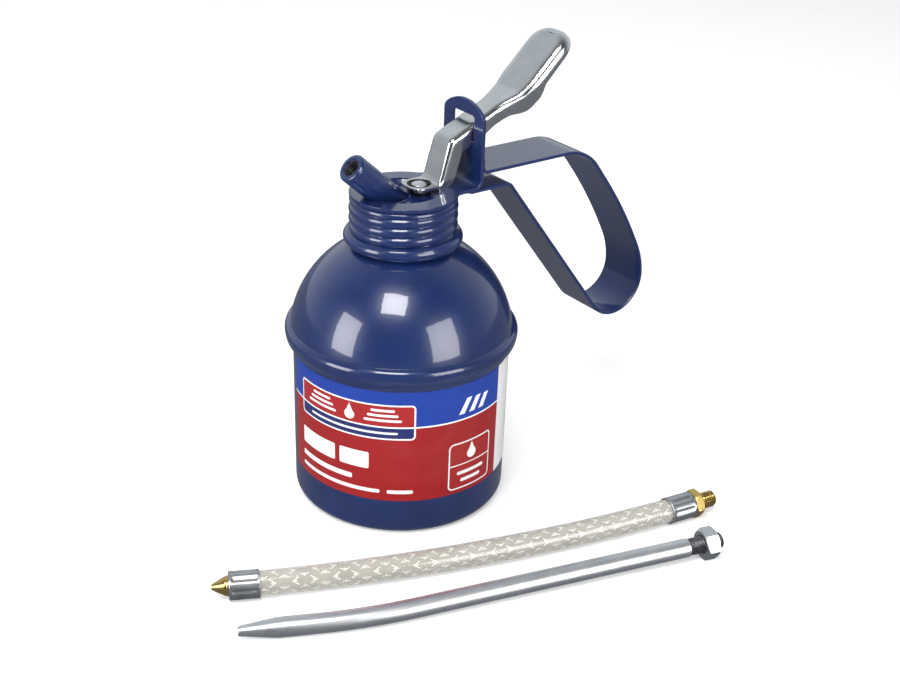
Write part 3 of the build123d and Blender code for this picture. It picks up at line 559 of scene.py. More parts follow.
lip = [(60.5, dome(60.9) - 0.55), (60.42, dome(60.7) - 0.3), (60.5, dome(60.6) - 0.06)]
wall = [(z, dome(z)) for z in [*np.linspace(60.7, 66.6, 44), *np.linspace(67.0, 76.0, 22)]]
ball_from, ball_to = degrees(asin((76.0 - DOME_Z) / DOME_R)) + 1, degrees(atan2(35.11, 18.10))
ball = arc(DOME_Z, 0, DOME_R, 90 - ball_from, 90 - ball_to, 33)
foot = arc(97.22, 19.7, 3.5, 207.2, 270, 9)[1:]
neck = [(z, NECK_R) for z in np.linspace(97.8, 109.2, 60)]
mouth = [(109.6, 16.1), (109.8, 15.85), (109.6, 15.6), (109.2, NECK_BORE_R), (96.5, NECK_BORE_R)]
inner = arc(DOME_Z, 0, DOME_R - DOME_SHEET, 25, 64, 15)
inner += [(z, dome(z, DOME_SHEET)) for z in np.linspace(74.0, 61.0, 30)]
spun("can_dome_shell", lip + wall + ball + foot + neck + mouth + inner, CAN, "enamel", "can", ["can_dome"],
     256, neck_thread)

# label: a thin wrap with rounded corners
COLUMNS = 240
label_rings = []
for k in range(COLUMNS + 1):
    angle = radians(LABEL_START + LABEL_TURN * k / COLUMNS)
    cut = corner_cut(min(k, COLUMNS - k) / COLUMNS * LABEL_TURN * LABEL_MM_PER_DEG, 1.5)
    low, high = 14.4 + cut, 57.0 - cut
    label_rings.append([(r * cos(angle), r * sin(angle), z)
                        for z, r in ((low, 38.02), (low, 38.13), (high, 38.13), (high, 38.02))])
build("can_label_wrap", *loft(label_rings), "label", "can", ["can_label"])

# ====================================================================== cap

CAP_BEAD_R, CAP_BEAD_C, CAP_BEAD_Z = 2.25, 18.15, 97.4
CAP_R, CAP_BORE_R, CAP_HOLE_R, CAP_TOP_Z = 17.7, 16.9, 13.85, 111.8


def cap_wall(z):
    side = CAP_R + 0.55 * ease(z, 109.3, 110.2)
    if abs(z - CAP_BEAD_Z) >= CAP_BEAD_R:
        return side
    return smooth_max(side, CAP_BEAD_C + sqrt(CAP_BEAD_R**2 - (z - CAP_BEAD_Z) ** 2), 0.16)


def cap_thread(angle, z, r):
    if r < 17.4 or z > 110.2 or z < 98.6:
        return r
    rib = 1 - helix(angle, z, PITCH, THREAD_Z) ** 2.2
    return r + 0.8 * rib * ease(z, 98.6, 100.2) * (1 - ease(z, 108.9, 110.1))


cap = [(CAP_TOP_Z, CAP_HOLE_R)] + arc(110.2, 16.7, 1.6, 0, 90, 9)
cap += [(z, cap_wall(z)) for z in np.linspace(110.0, 97.6, 88)]
cap += arc(CAP_BEAD_Z, CAP_BEAD_C, CAP_BEAD_R, 90, 240, 19)
cap += [(98.2, CAP_BORE_R), (111.1, CAP_BORE_R), (111.1, CAP_HOLE_R)]
spun("screw_cap_shell", cap, CAN, "enamel", "head", ["screw_cap"], 256, cap_thread)

# ====================================================================== head plate and upright

PLATE_T, PLATE_Z = 1.3, 112.45
BEND_X, BEND_R = 21.8, 2.65
UP_S = BEND_X + BEND_R * pi / 2


def bent(s, y, h):
    """From the flat sheet (s along, y across, h above its middle) to the bent bracket."""
    if s <= BEND_X:
        return Vector((s, y, PLATE_Z + h))
    if s < UP_S:
        a = (s - BEND_X) / BEND_R
        return Vector((BEND_X + (BEND_R - h) * sin(a), y, PLATE_Z + BEND_R - (BEND_R - h) * cos(a)))
    return Vector((BEND_X + BEND_R - h, y, PLATE_Z + BEND_R + s - UP_S))


def up(z):
    """Where on the flat sheet a height of the upright lies."""
    return UP_S + z - (PLATE_Z + BEND_R)


def sheet(name, loops, thickness, edge, stations, place):
    """A flat sheet with holes and rounded edges, then bent by the place function."""
    bm = bmesh.new()
    for loop in loops:
        made = [bm.verts.new((x, y, thickness / 2)) for x, y in loop]
        for a, b in zip(made, made[1:] + made[:1]):
            bm.edges.new((a, b))
    bmesh.ops.triangle_fill(bm, use_beauty=True, use_dissolve=False, edges=bm.edges[:])
    grown = bmesh.ops.extrude_face_region(bm, geom=bm.faces[:])
    lower = [g for g in grown["geom"] if isinstance(g, bmesh.types.BMVert)]
    bmesh.ops.translate(bm, vec=(0, 0, -thickness), verts=lower)
    bmesh.ops.recalc_face_normals(bm, faces=bm.faces)
    rims = [e for e in bm.edges if len(e.link_faces) == 2 and e.calc_face_angle(0) > radians(60)
            and abs(e.verts[0].co.z - e.verts[1].co.z) < 1e-6]
    bmesh.ops.bevel(bm, geom=rims, offset=edge, segments=3, profile=0.5, affect="EDGES", clamp_overlap=True)
    for s in stations:
        everything = bm.verts[:] + bm.edges[:] + bm.faces[:]
        bmesh.ops.bisect_plane(bm, geom=everything, plane_co=(s, 0, 0), plane_no=(1, 0, 0))
    for v in bm.verts:
        v.co = place(*v.co) * MM
    mesh = bpy.data.meshes.new(name)
    bm.to_mesh(mesh)
    bm.free()
    shade(mesh, 50)
    return mesh


def mirrored(points):
    return [(x, -y) for x, y in points]


UPRIGHT_HALF, UPRIGHT_TOP, ARCH_RISE = 11.0, 141.0, 4.5
arch_r = (UPRIGHT_HALF**2 + ARCH_RISE**2) / (2 * ARCH_RISE)
arch_turn = degrees(asin(UPRIGHT_HALF / arch_r)) - 6
arch = arc(up(UPRIGHT_TOP) - arch_r, 0, arch_r, -arch_turn, arch_turn, 25)
shoulder = up(UPRIGHT_TOP - ARCH_RISE)
shoulders = [(shoulder - 1.2, UPRIGHT_HALF), (shoulder - 0.35, UPRIGHT_HALF - 0.12),
             (shoulder + 0.35, UPRIGHT_HALF - 0.55)]
root = arc(16.19, 14.0, 3.0, -139.2, -90, 6)
outline = mirrored(root + shoulders) + arch + (root + shoulders)[::-1]
outline += arc(0, 0, 18.4, 40.9, 319.1, 90)[1:-1]
dish_hole = arc(0, 0, 12.0, 0, 360, 96)[:-1]
sill, head = up(127.0), up(136.2)
window = rounded([(sill, -6.1, 0.9), (head, -6.1, 1.3), (head, 6.1, 1.3), (sill, 6.1, 0.9)])
stations = [BEND_X + (UP_S - BEND_X) * k / 10 for k in range(11)]
bracket = sheet("head_plate_and_upright", [outline, dish_hole, window], PLATE_T, 0.3, stations, bent)
weighted(piece(bracket, "enamel", "head", ["fulcrum_bracket"]))

DISH_Z = 111.3
dish = rounded([(DISH_Z, 0), (DISH_Z, 11.1, 1.0), (112.6, 12.02), (112.6, 12.7), (109.95, 12.6, 0.8),
                (109.95, 0)])
spun("head_dish", dish, CAN, "enamel", "head", around=160)

# ====================================================================== outlet spigot

SPIGOT = Axis((-5.6, 0, DISH_Z), (-cosd(42), 0, sind(42)), (0, 1, 0))
SPIGOT_R, SPIGOT_TIP, SPIGOT_BORE_R = 5.0, 20.6, 2.5


def spigot_thread(angle, along, r):
    """An M6 thread of 1 mm pitch cut into the mouth."""
    if not (2.3 < r < 2.9) or along < SPIGOT_TIP - 9.0:
        return r
    return r + 0.42 * helix(angle, along)


spigot_outline = [(-8.5, 0), (-8.5, SPIGOT_R), (10.0, SPIGOT_R), (SPIGOT_TIP - 1.0, SPIGOT_R)]
spigot_outline += arc(SPIGOT_TIP - 1.0, SPIGOT_R - 1.0, 1.0, 75, 0, 6)
spigot_outline += [(SPIGOT_TIP, 3.35), (SPIGOT_TIP - 0.5, 2.95)]
spigot_outline += [(s, SPIGOT_BORE_R) for s in np.linspace(SPIGOT_TIP - 0.6, SPIGOT_TIP - 8.8, 84)]
spigot_outline += [(SPIGOT_TIP - 9.1, 1.3), (SPIGOT_TIP - 13.0, 1.3), (SPIGOT_TIP - 13.0, 0)]
spigot = spun("outlet_spigot_tube", spigot_outline, SPIGOT, "enamel", "head", ["outlet_spigot"],
              shape=spigot_thread)
# below the dish the tube is cut off level; the bore inside its mouth is painted near black, a painted shade
bm = bmesh.new()
bm.from_mesh(spigot.data)
bmesh.ops.bisect_plane(bm, geom=bm.verts[:] + bm.edges[:] + bm.faces[:], plane_no=-UP,
                       plane_co=(0, 0, (DISH_Z - 1.25) * MM), clear_outer=True)
bmesh.ops.holes_fill(bm, edges=[e for e in bm.edges if e.is_boundary])
spigot.data.materials.append(FINISH["bore"][1])
for face in bm.faces:
    middle = face.calc_center_median() / MM - SPIGOT.o
    along = middle.dot(SPIGOT.d)
    if (middle - SPIGOT.d * along).length < 3.1 and along > 5:
        face.material_index = 1
bm.to_mesh(spigot.data)
bm.free()

# braze fillet where the spigot meets the dish
fillet_rings = []
for k in range(72):
    around = SPIGOT.at(0, 1, 2 * pi * k / 72) - SPIGOT.o
    base = SPIGOT.o + around * SPIGOT_R
    centre = base + SPIGOT.d * ((DISH_Z - base.z) / SPIGOT.d.z)
    outward = Vector((around.x, around.y, 0)).normalized()
    fillet_rings.append([centre + outward * x + UP * z for x, z in arc(0.05, 0.05, 0.42, 0, 315, 7)])
build("spigot_braze", *loft(fillet_rings, closed=True), "enamel", "head")

# ====================================================================== handle strip

LOW_Z, TOP_Z, REST_X = 111.18, 117.2, 25.72     # where the strip leaves the head and comes back to it
LEG, TOE, HEEL, BACK = 52.4, 95, 117, 128       # headings, degrees
FOLD_R, TOE_R, HEEL_R, PALM_R, TOP_R = 2.6, 12.8, 30.0, 192.0, 18.0
PALM_RUN = 8.2


def straight(path, heading, length, steps):
    x, z = path[-1]
    path += [(x + cosd(heading) * length * k / steps, z + sind(heading) * length * k / steps)
             for k in range(1, steps + 1)]


def turned(path, heading, radius, to_heading, step=4.0):
    """Adds an arc to a path in the XZ plane, from one heading to another."""
    left = 90 if to_heading > heading else -90
    x, z = path[-1]
    path += arc(x + radius * cosd(heading + left), z + radius * sind(heading + left), radius,
                heading - left, to_heading - left, max(2, ceil(abs(to_heading - heading) / step)))[1:]


# the front leg is as long as the rest of the loop needs to close at TOP_Z
rise = TOE_R * (cosd(LEG) - cosd(TOE)) + HEEL_R * (cosd(TOE) - cosd(HEEL))
rise += PALM_R * (cosd(HEEL) - cosd(BACK)) + PALM_RUN * sind(BACK)
rise += TOP_R * (cosd(BACK) + 1) - FOLD_R * (1 - cosd(LEG))
strip = [(19.4, LOW_Z)]
straight(strip, 0, 17.0, 8)
turned(strip, 0, FOLD_R, -LEG)
straight(strip, -LEG, (rise - (TOP_Z - LOW_Z)) / sind(LEG), 24)
turned(strip, -LEG, TOE_R, TOE)
turned(strip, TOE, HEEL_R, HEEL)
turned(strip, HEEL, PALM_R, BACK, 0.7)
straight(strip, BACK, PALM_RUN, 6)
turned(strip, BACK, TOP_R, 180)
straight(strip, 180, strip[-1][0] - (REST_X + FOLD_R), 14)
turned(strip, 180, FOLD_R, 90)
straight(strip, 90, 4.0, 4)
strip_len = np.cumsum([0] + [hypot(b[0] - a[0], b[1] - a[1]) for a, b in zip(strip, strip[1:])])


def strip_section(i):
    """Rounded-edge strip of (across, along Y), its corners rounded off at both ends."""
    width = 10.0 - corner_cut(min(strip_len[i], strip_len[-1] - strip_len[i]), 2.2)
    r = 0.42
    x, y = 0.6 - r, width - r
    return (arc(x, y, r, 0, 90, 4) + arc(-x, y, r, 90, 180, 4) + arc(-x, -y, r, 180, 270, 4)
            + arc(x, -y, r, 270, 360, 4))


path = [Vector((x, 0, z)) for x, z in strip]
strap_rings = []
for i, here in enumerate(path):
    ahead = path[min(i + 1, len(path) - 1)] - path[max(i - 1, 0)]
    across = Vector((0, 1, 0)).cross(ahead).normalized()
    strap_rings.append([here + across * p + Vector((0, q, 0)) for p, q in strip_section(i)])
weighted(build("handle_strip", *loft(strap_rings), "enamel", "head", ["handle_strap"], 50))

# ====================================================================== gland and plunger head

STEM_X, ROD_R = 6.2, 1.5
STEM = Axis((STEM_X, 0, 0), UP, (1, 0, 0))
TAB_TOP = 114.35
HEAD_Z = TAB_TOP - 0.72
gland = rounded([(107.7, 1.58), (107.7, 2.96), (111.32, 2.96), (111.32, 3.95, 0.2), (112.3, 4.0, 0.3),
                 (112.6, 3.6, 0.3), (113.02, 3.5, 0.3), (113.02, 1.58)])
spun("stem_gland_nut", gland, STEM, "black", "head", ["stem_gland"], 64)
rod = rounded([(68.5, 0), (68.5, ROD_R), (HEAD_Z, ROD_R), (HEAD_Z, 2.5, 0.25), (HEAD_Z + 0.55, 2.66, 0.3),
               (HEAD_Z + 0.95, 2.0, 1.2), (HEAD_Z + 1.12, 0)], step=8)
spun("plunger_rod_stem", rod, STEM, "steel", "plunger", ["plunger_rod"], 64)

# ====================================================================== return spring

spring_low, spring_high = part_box("return_spring")
WIRE, COIL_R, TURNS, PER_TURN = 0.45, 3.7, 9, 32
coil_z0, coil_z1 = spring_low.z / MM + WIRE, spring_high.z / MM - WIRE
coil_rings = []
for i in range(TURNS * PER_TURN + 1):
    a = 2 * pi * i / PER_TURN
    out = Vector((cos(a), sin(a), 0))
    centre = STEM.at(coil_z0 + (coil_z1 - coil_z0) * i / (TURNS * PER_TURN)) + out * COIL_R
    coil_rings.append([centre + out * x + UP * z for x, z in arc(0, 0, WIRE, 0, 324, 9)])
coil = build("return_spring_coil", *loft(coil_rings), "steel", "head", ["return_spring"], 40)
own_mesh(coil)

# ====================================================================== thumb lever

LEVER_T, END_R, TAB_R = 1.15, 7.5, 3.2
WAIST, PAD = 5.5, 9.2               # half widths
ARC_N, SKIRT_N, WEB_N = 7, 4, 6
lever_line = rounded([(1.4, TAB_TOP), (10.9, TAB_TOP, 1.6), (15.2, 129.0, 3.4), (42.5, 141.6, 5.0),
                      (61.8, 160.2)], closed=False, step=5.0)
dense = []
for (x0, z0), (x1, z1) in zip(lever_line, lever_line[1:]):
    parts = max(1, ceil(hypot(x1 - x0, z1 - z0) / 0.7))
    dense += [(x0 + (x1 - x0) * k / parts, z0 + (z1 - z0) * k / parts) for k in range(parts)]
line = np.array(dense + [lever_line[-1]])
line_s = np.concatenate([[0], np.cumsum(np.hypot(*np.diff(line, axis=0).T))])
LEVER_S = line_s[-1]
grid_s = np.linspace(0, LEVER_S, 400)
gx, gz = np.interp(grid_s, line_s, line[:, 0]), np.interp(grid_s, line_s, line[:, 1])
tx, tz = np.gradient(gx, grid_s), np.gradient(gz, grid_s)


def smoothed(values, sigma):
    width = int(3 * sigma / grid_s[1]) + 1
    kernel = np.exp(-0.5 * (np.arange(-width, width + 1) * grid_s[1] / sigma) ** 2)
    padded = np.concatenate([[values[0]] * width, values, [values[-1]] * width])
    return np.convolve(padded, kernel / kernel.sum(), "valid")


near_x, near_z = smoothed(tx, 0.5), smoothed(tz, 0.5)
wide_x, wide_z = smoothed(tx, 2.6), smoothed(tz, 2.6)


def along_lever(s):
    """Point, surface normal and skirt direction at a distance along the lever's top line."""
    s = min(max(s, 0.0), LEVER_S)
    x, z, nx, nz, wx, wz = (np.interp(s, grid_s, v) for v in (gx, gz, near_x, near_z, wide_x, wide_z))
    return Vector((x, 0, z)), Vector((-nz, 0, nx)).normalized(), Vector((-wz, 0, wx)).normalized()


def s_at(x):
    return float(np.interp(x, gx, grid_s))


half_width = [(0, WAIST), (s_at(33.0), WAIST), (s_at(47.5), PAD)]
skirt_depth = [(s_at(9.2), 1.2), (s_at(11.8), 5.4), (s_at(24), 6.1), (s_at(31.5), 5.2), (s_at(36), 5.4),
               (s_at(41.6), 7.0), (s_at(44.5), 6.6), (s_at(49.0), 4.5), (LEVER_S, 4.0)]
edge_radius = [(s_at(9.0), 0.3), (s_at(11.6), 1.5), (s_at(24), 2.0), (s_at(40), 2.2), (s_at(50), 3.0)]
plan = [(0, 0), (0, 1.2)] + arc(TAB_R, WAIST - TAB_R, TAB_R, 180, 90, 8)
plan += [(s, table(s, half_width)) for s in np.arange(TAB_R + 0.5, LEVER_S - END_R - 0.2, 0.5)]
plan += arc(LEVER_S - END_R, PAD - END_R, END_R, 90, 0, 15)
plan += [(LEVER_S, (PAD - END_R) * k / 3) for k in (2, 1, 0)]
plan = np.array(plan, float)
flow = np.gradient(plan, axis=0)
flow[0], flow[-1] = (0, 1), (0, -1)


def lever_row(s, y, ns, ny, r, depth, thick):
    """Half section over the top, the rounded edge and down the skirt; its inner face if thick is given."""
    reach = max(r, thick + 0.12) if thick else r
    bend = max(min(reach, depth) - thick, 0.0)
    es, ey = min(max(s - reach * ns, 0.0), LEVER_S), max(y - reach * ny, 0.0)
    q, nq, _ = along_lever(es)
    here = [Vector((q.x, ey * (1 - k / WEB_N), q.z)) - nq * min(thick, depth) for k in range(WEB_N, 0, -1)]
    for k in range(ARC_N + 1):
        a = pi / 2 * k / ARC_N
        step = (reach - thick) * sin(a)
        q, nq, wq = along_lever(es + step * ns)
        down = min(thick + bend * (1 - cos(a)), depth)
        here.append(Vector((q.x, max(ey + step * ny, 0.0), q.z)) - nq.lerp(wq, sin(a)).normalized() * down)
    p, _, w = along_lever(s - thick * ns)
    top = min(thick + bend, depth)
    here += [Vector((p.x, max(y - thick * ny, 0.0), p.z)) - w * (top + (depth - top) * k / SKIRT_N)
             for k in range(1, SKIRT_N + 1)]
    return here


lever_rows = []
for (s, y), (ds, dy) in zip(plan, flow):
    at = (s, y, -dy / hypot(ds, dy), ds / hypot(ds, dy), table(s, edge_radius), table(s, skirt_depth))
    lever_rows.append(lever_row(*at, 0.0) + lever_row(*at, LEVER_T)[::-1])
points, faces = loft(lever_rows, hoop=False, capped=False)
half = len(points)
points += [Vector((v.x, -v.y, v.z)) for v in points]
faces += [tuple(half + i for i in reversed(f)) for f in faces]
lever = build("thumb_lever_channel", points, faces, "nickel", replaces=["thumb_lever"], sharp=40, weld=1e-5)

# a dish for the plunger's head, a slot for its rod, and a notch that rocks on the window's edge
PIVOT_X, PIVOT_Z = 24.45, 127.4
# the dish's cut faces take the near-black bore finish, a painted shade in the dish
carve(lever, spun("dish_tool", [(TAB_TOP - 0.75, 0), (TAB_TOP - 0.75, 3.3), (TAB_TOP + 0.01, 4.2),
                                (TAB_TOP + 0.5, 4.2), (TAB_TOP + 0.5, 0)], STEM, "bore", around=64))
carve(lever, prism("slot_tool", [(STEM_X - 3.35, 112.0), (STEM_X + 3.35, 112.0), (STEM_X + 3.35, 114.0),
                                 (STEM_X - 3.35, 114.0)], ROD_R + 0.2, "nickel"))
notch = [(-1.7, -2.8), (1.7, -2.8), (1.15, -0.3), (0.8, 0), (-0.8, 0), (-1.15, -0.3)]
carve(lever, prism("notch_tool", [(PIVOT_X + x, PIVOT_Z + z) for x, z in notch], 8.0, "nickel"))
shade(lever.data, 35)
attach(lever, "lever")

# ====================================================================== rigid spout

TUBE_R, RUN, TUBE_BEND_R, TUBE_BEND, TIP_RUN = 3.25, 110.0, 184.0, radians(10.5), 12.0
HEADING = 164.9
# the loose spout lies on its locknut and its tip, so it leans down a little
lean = 1.75 / (RUN + TUBE_BEND_R * TUBE_BEND + TIP_RUN - 5.0)
TUBE = Axis((65.0, -100.5, 5.05 + 5.0 * lean), (cosd(HEADING), sind(HEADING), -lean), UP)
side = Vector((-sind(HEADING), cosd(HEADING), 0))
plane_n = TUBE.d.cross(side).normalized()
stations = [(TUBE.at(13.0), TUBE.d, TUBE_R)]
for k in range(25):
    a = TUBE_BEND * k / 24
    stations.append((TUBE.at(RUN + TUBE_BEND_R * sin(a)) - side * (TUBE_BEND_R * (1 - cos(a))),
                     TUBE.d * cos(a) - side * sin(a), TUBE_R))
bend_end, tip_way, _ = stations[-1]
stations += [(bend_end + tip_way * s, tip_way, r)
             for s, r in ((11.7, TUBE_R), (12.1, 3.22), (12.5, 3.16), (14.0, 2.93), (22.0, 1.84),
                          (23.4, 1.68), (23.8, 1.58), (24.0, 1.4), (24.0, 1.0), (23.0, 0.95), (21.5, 0.95))]
shank_rings = []
for centre, way, r in stations:
    across = plane_n.cross(way).normalized()
    turns = [2 * pi * k / 48 for k in range(48)]
    shank_rings.append([centre + (across * cos(a) + plane_n * sin(a)) * r for a in turns])
build("rigid_spout_shank", *loft(shank_rings), "tube", "rigid_spout", ["rigid_spout_tube"], 40)


def m6_thread(angle, along, r):
    """Triangular thread, 1 mm pitch, where the outline has the thread's own radius."""
    return r - 0.5 * helix(angle, along) if 2.9 < r < 3.05 else r


thread = [(1.5, 0), (1.5, 1.9), (0.0, 1.95), (0.0, 2.45)] + [(s, 3.0) for s in np.linspace(0.5, 12.7, 123)]
thread += [(13.02, 2.6), (13.02, 0)]
spun("rigid_spout_thread", thread, TUBE, "thread", "rigid_spout", around=64, shape=m6_thread, sharp=60)


def hex_solid(name, axis, start, length, flats, bore_r, finish, body, replaces=()):
    """Hexagon with turned chamfers on its corners."""
    def corner(angle, along, r):
        off = (degrees(angle) + 30.0) % 60.0 - 30.0
        return min(r, flats / 2 / cosd(off)) if r > flats / 2 - 0.3 else r

    flat = flats / 2 - 0.35
    chamfer = [(0.55 * (r - flat), r) for r in np.linspace(flats / 2 - 0.1, flats / sqrt(3), 8)]
    rows = [(start, bore_r + 0.45), (start, flat)] + [(start + s, r) for s, r in chamfer]
    rows += [(start + length - s, r) for s, r in reversed(chamfer)]
    rows += [(start + length, flat), (start + length, bore_r + 0.45), (start + length - 0.45, bore_r),
             (start + 0.45, bore_r)]
    spun(name, rows, axis, finish, body, replaces, 180, corner, 22)


hex_solid("rigid_spout_nut", TUBE, 2.5, 5.0, 10.0, 3.02, "zinc", "locknut", ["rigid_spout_locknut"])

# ====================================================================== flexible spout

# the hose lies on an arc through its nozzle end, its middle and its connector end
HOSE_A, HOSE_M, HOSE_B, HOSE_Z = Vector((-86.0, -30.3)), Vector((-9.1, -60.2)), Vector((71.4, -78.4)), 4.82
HOSE_R, HOSE_BORE_R = 4.2, 2.4


def circle_centre(a, b, c):
    d = 2 * (a.x * (b.y - c.y) + b.x * (c.y - a.y) + c.x * (a.y - b.y))
    aa, bb, cc = a.length_squared, b.length_squared, c.length_squared
    return Vector(((aa * (b.y - c.y) + bb * (c.y - a.y) + cc * (a.y - b.y)) / d,
                   (aa * (c.x - b.x) + bb * (a.x - c.x) + cc * (b.x - a.x)) / d))


hose_c = circle_centre(HOSE_A, HOSE_M, HOSE_B)
hose_bend_r = (HOSE_A - hose_c).length
from_a, to_b = (atan2(end.y - hose_c.y, end.x - hose_c.x) for end in (HOSE_A, HOSE_B))
hose_len = abs(to_b - from_a) * hose_bend_r


def hose_frame(s):
    """Point, direction from nozzle to connector, and outward side, at a distance from the nozzle end."""
    a = from_a + (to_b - from_a) * s / hose_len
    out = Vector((cos(a), sin(a), 0))
    way = Vector((-sin(a), cos(a), 0)) * (1 if to_b > from_a else -1)
    return Vector((hose_c.x, hose_c.y, HOSE_Z)) + out * hose_bend_r, way, out


def hose_point(s, r, angle):
    p, _, out = hose_frame(s)
    return p + (out * cos(angle) + UP * sin(angle)) * r


def bend_hose(obj):
    """Bakes a hose piece's placement into its mesh."""
    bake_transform(obj)


def hose_tube(name, r_out, r_in, finish, replaces=()):
    along = list(np.linspace(-0.5, hose_len + 0.5, 151))
    rings = [[hose_point(s, r_out, a) for s in along] + [hose_point(s, r_in, a) for s in along[::-1]]
             for a in (2 * pi * k / 48 for k in range(48))]
    bend_hose(build(name, *loft(rings, closed=True), finish, replaces=replaces))


hose_tube("flex_hose_sleeve", HOSE_R, HOSE_R - 0.22, "sleeve", ["flex_hose_front", "flex_hose_rear"])
hose_tube("flex_hose_liner", 3.42, HOSE_BORE_R, "core")

# braid: flat strands wound both ways, each passing over and under the others
STRANDS, LEAD, BAND, BRAID_R, BRAID_LEAN = 6, 40.0, 3.05, 3.70, 29.5
STRAND_T, WEAVE, STEPS = 0.20, 0.13, 330
reach = BAND / cosd(BRAID_LEAN) / 2 / BRAID_R
face_line = [k / 3 - 1 for k in range(7)]
points, faces, across_values, fibre_values = [], [], [], []
for direction in (1, -1):
    for strand in range(STRANDS):
        rings = []
        for s in np.linspace(-0.4, hose_len + 0.4, STEPS + 1):
            middle = direction * 2 * pi * s / LEAD + 2 * pi * strand / STRANDS
            r = BRAID_R + WEAVE * direction * cos(2 * pi * s / LEAD * STRANDS + pi * strand)
            top, low = r + STRAND_T / 2, r - STRAND_T / 2
            rings.append([hose_point(s, top - 0.05 * f * f, middle + f * reach) for f in face_line]
                         + [hose_point(s, low, middle + f * reach) for f in face_line[::-1]])
            across_values += face_line + face_line[::-1]
            fibre_values += [f + strand * 3 for f in face_line + face_line[::-1]]
        made, skin = loft(rings)
        faces += [tuple(len(points) + i for i in f) for f in skin]
        points += made
mesh = bpy.data.meshes.new("flex_hose_braid")
mesh.from_pydata([p * MM for p in points], [], faces)
for name, values in (("across", across_values), ("fibre", fibre_values)):
    mesh.attributes.new(name, "FLOAT", "POINT").data.foreach_set("value", np.array(values, np.float32))
shade(mesh, 50)
bend_hose(piece(mesh, "braid"))

nozzle_end, nozzle_way, _ = hose_frame(0)
connector_end, connector_way, _ = hose_frame(hose_len)
NOZZLE = Axis(nozzle_end, -nozzle_way, UP)
CONNECTOR = Axis(connector_end, connector_way, UP)


def crimp(angle, along, r):
    """Seven lengthwise flutes on the outside, fading out at both ends of the ferrule."""
    if r < 4.4:
        return r
    flute = (0.5 - 0.5 * cos(7 * angle + 0.6)) ** 2.2
    fade = ease(along, -8.9, -7.9) * (1 - ease(along, -0.6, 0.5))
    return r - 0.40 * flute * fade + 0.05 * cos(3 * angle + 1.0) * fade


ferrule = rounded([(-9.0, 4.3), (-9.0, 4.78, 0.2), (-8.3, 4.8, 0.3)], closed=False)
ferrule += [(s, 4.76) for s in np.linspace(-8.1, -0.2, 24)]
ferrule += rounded([(0.0, 4.76), (1.0, 4.7, 0.7), (1.0, 3.9)], closed=False)
ferrule += [(0.6, 3.9), (0.6, 4.28), (-8.7, 4.28)]
spun("front_ferrule_crimp", ferrule, NOZZLE, "crimp", "flex_front", ["front_ferrule"], 128, crimp)
spun("rear_ferrule_crimp", ferrule, CONNECTOR, "crimp", "flex_spout", ["rear_ferrule"], 128, crimp)

nozzle = rounded([(-7.0, 1.0), (-7.0, 2.2), (0.1, 2.25), (0.1, 3.85), (1.0, 3.85), (1.0, 3.4),
                  (1.5, 3.4, 0.2), (1.75, 3.15, 0.2), (2.3, 3.1, 0.3), (6.2, 1.05, 0.2), (6.5, 0.9, 0.1),
                  (6.5, 0.5), (0.0, 0.5), (0.0, 1.0)])
spun("spout_nozzle_tip", nozzle, NOZZLE, "brass", "flex_front", ["spout_nozzle"])
hex_solid("spout_connector_hex", CONNECTOR, 1.02, 3.5, 9.0, 1.0, "brass", "flex_spout")
screw = [(-7.0, 1.0), (-7.0, 2.2), (0.1, 2.25), (0.1, 3.8), (4.3, 3.8), (4.7, 2.5)]
screw += [(s, 3.0) for s in np.linspace(5.0, 10.5, 67)]
screw += [(10.85, 2.5), (11.0, 2.3), (11.0, 1.3), (10.6, 1.0)]
spun("spout_connector_thread", screw, CONNECTOR, "brass", "flex_spout", ["spout_connector"], 64,
     m6_thread, 60)

# ====================================================================== parts that stay as imported from model.glb

INSIDE = {
    "rubber": ["cap_gasket", "gland_packing", "piston_packing"],
    "brass": ["pump_head", "pump_barrel", "foot_valve_body", "suction_tube", "piston"],
    "steel": ["foot_ball_pin", "foot_ball", "piston_ball"],
}
for finish, names in INSIDE.items():
    for name in names:
        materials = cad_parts[name].data.materials
        materials.clear()
        materials.append(FINISH[finish][1])

# ====================================================================== stage, lights, camera

# the floor is lifted to near white, but polished metal sees it dimmer
floor = Mat("pale_floor", (0.86, 0.86, 0.86), 0.7)
floor.set("Base Color", floor.mix(floor.noise(60.0, 3.0), (0.84, 0.84, 0.845), (0.88, 0.88, 0.88)))
dim = shader(floor.tree, "Emission", {0: (0.30, 0.32, 0.36, 1), 1: 0.55})
lift = shader(floor.tree, "Emission", {1: 0.30})
seen = shader(floor.tree, "AddShader", {0: floor.bsdf.outputs[0], 1: lift.outputs[0]})
glossy_ray = shader(floor.tree, "LightPath").outputs["Is Glossy Ray"]
pick = shader(floor.tree, "MixShader", {0: glossy_ray, 1: seen.outputs[0], 2: dim.outputs[0]})
floor.tree.links.new(pick.outputs[0], floor.tree.nodes["Material Output"].inputs[0])
floor_mesh = bpy.data.meshes.new("floor")
floor_mesh.from_pydata([(-6, -6, 0), (6, -6, 0), (6, 6, 0), (-6, 6, 0)], [], [(0, 1, 2, 3)])
floor_mesh.materials.append(floor.mat)
linked("floor", floor_mesh)

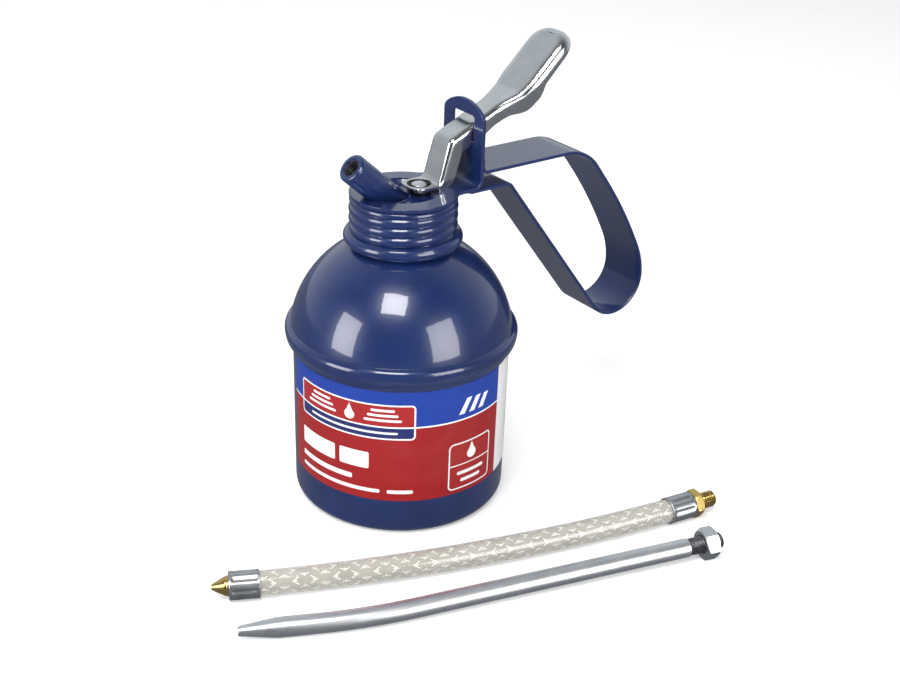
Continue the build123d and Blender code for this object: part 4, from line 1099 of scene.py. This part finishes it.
# soft even light; in reflections, dark on the camera's side and pale behind the can
world = bpy.data.worlds.new("studio")
bpy.context.scene.world = world
world.use_nodes = True
tree = world.node_tree
tree.nodes.clear()
way = shader(tree, "TexCoord").outputs["Generated"]
toward = shader(tree, "VectorMath", {0: way, 1: (-0.571, -0.821, 0.25)}, operation="DOT_PRODUCT")
level = shader(tree, "MapRange", {0: toward.outputs["Value"], 1: -1, 2: 1})
ramp = shader(tree, "ValToRGB", {0: level.outputs[0]})
pale, dark = ramp.color_ramp.elements
pale.position, pale.color = 0.25, (0.62, 0.66, 0.70, 1)
dark.position, dark.color = 0.72, (0.045, 0.05, 0.06, 1)
soft = shader(tree, "Background", {0: (1, 1, 1, 1), 1: 0.32})
mirrored_room = shader(tree, "Background", {0: ramp.outputs[0]})
glossy_ray = shader(tree, "LightPath").outputs["Is Glossy Ray"]
room = shader(tree, "MixShader", {0: glossy_ray, 1: soft.outputs[0], 2: mirrored_room.outputs[0]})
shader(tree, "OutputWorld", {0: room.outputs[0]})


def aimed(obj, azimuth, elevation):
    """Turns an object to look in from an azimuth and elevation; gives the direction back to it."""
    aim = Vector((cosd(azimuth) * cosd(elevation), sind(azimuth) * cosd(elevation), sind(elevation)))
    obj.rotation_mode = "QUATERNION"
    obj.rotation_quaternion = (-aim).to_track_quat("-Z", "Y")
    return aim


def softbox(name, azimuth, elevation, distance, width, height, power):
    data = bpy.data.lights.new(name, "AREA")
    data.shape, data.size, data.size_y, data.energy = "RECTANGLE", width, height, power
    obj = linked(name, data)
    obj.location = Vector((0, 0, 0.075)) + aimed(obj, azimuth, elevation) * distance
    return obj


softbox("overhead", -137, 56, 1.1, 0.46, 0.40, 7.5)
softbox("left_box", 176, 12, 1.15, 0.50, 0.75, 8)
softbox("right_box", -80, 14, 1.15, 0.60, 0.75, 8)
softbox("back_fill", 100, 62, 1.4, 1.2, 0.8, 7).visible_glossy = False

cam = bpy.data.cameras.new("camera")
cam.sensor_width, cam.lens = 36.0, 54.304
cam.shift_x, cam.shift_y = 0.0200, 0.0391
camera = linked("camera", cam)
camera.location = (-0.2439, -0.35074, 0.27515)
aimed(camera, -126.319, 28.394)
camera.rotation_quaternion @= Quaternion((0, 0, 1), radians(1.688))
bpy.context.scene.camera = camera
bpy.context.scene.view_settings.view_transform = "Standard"
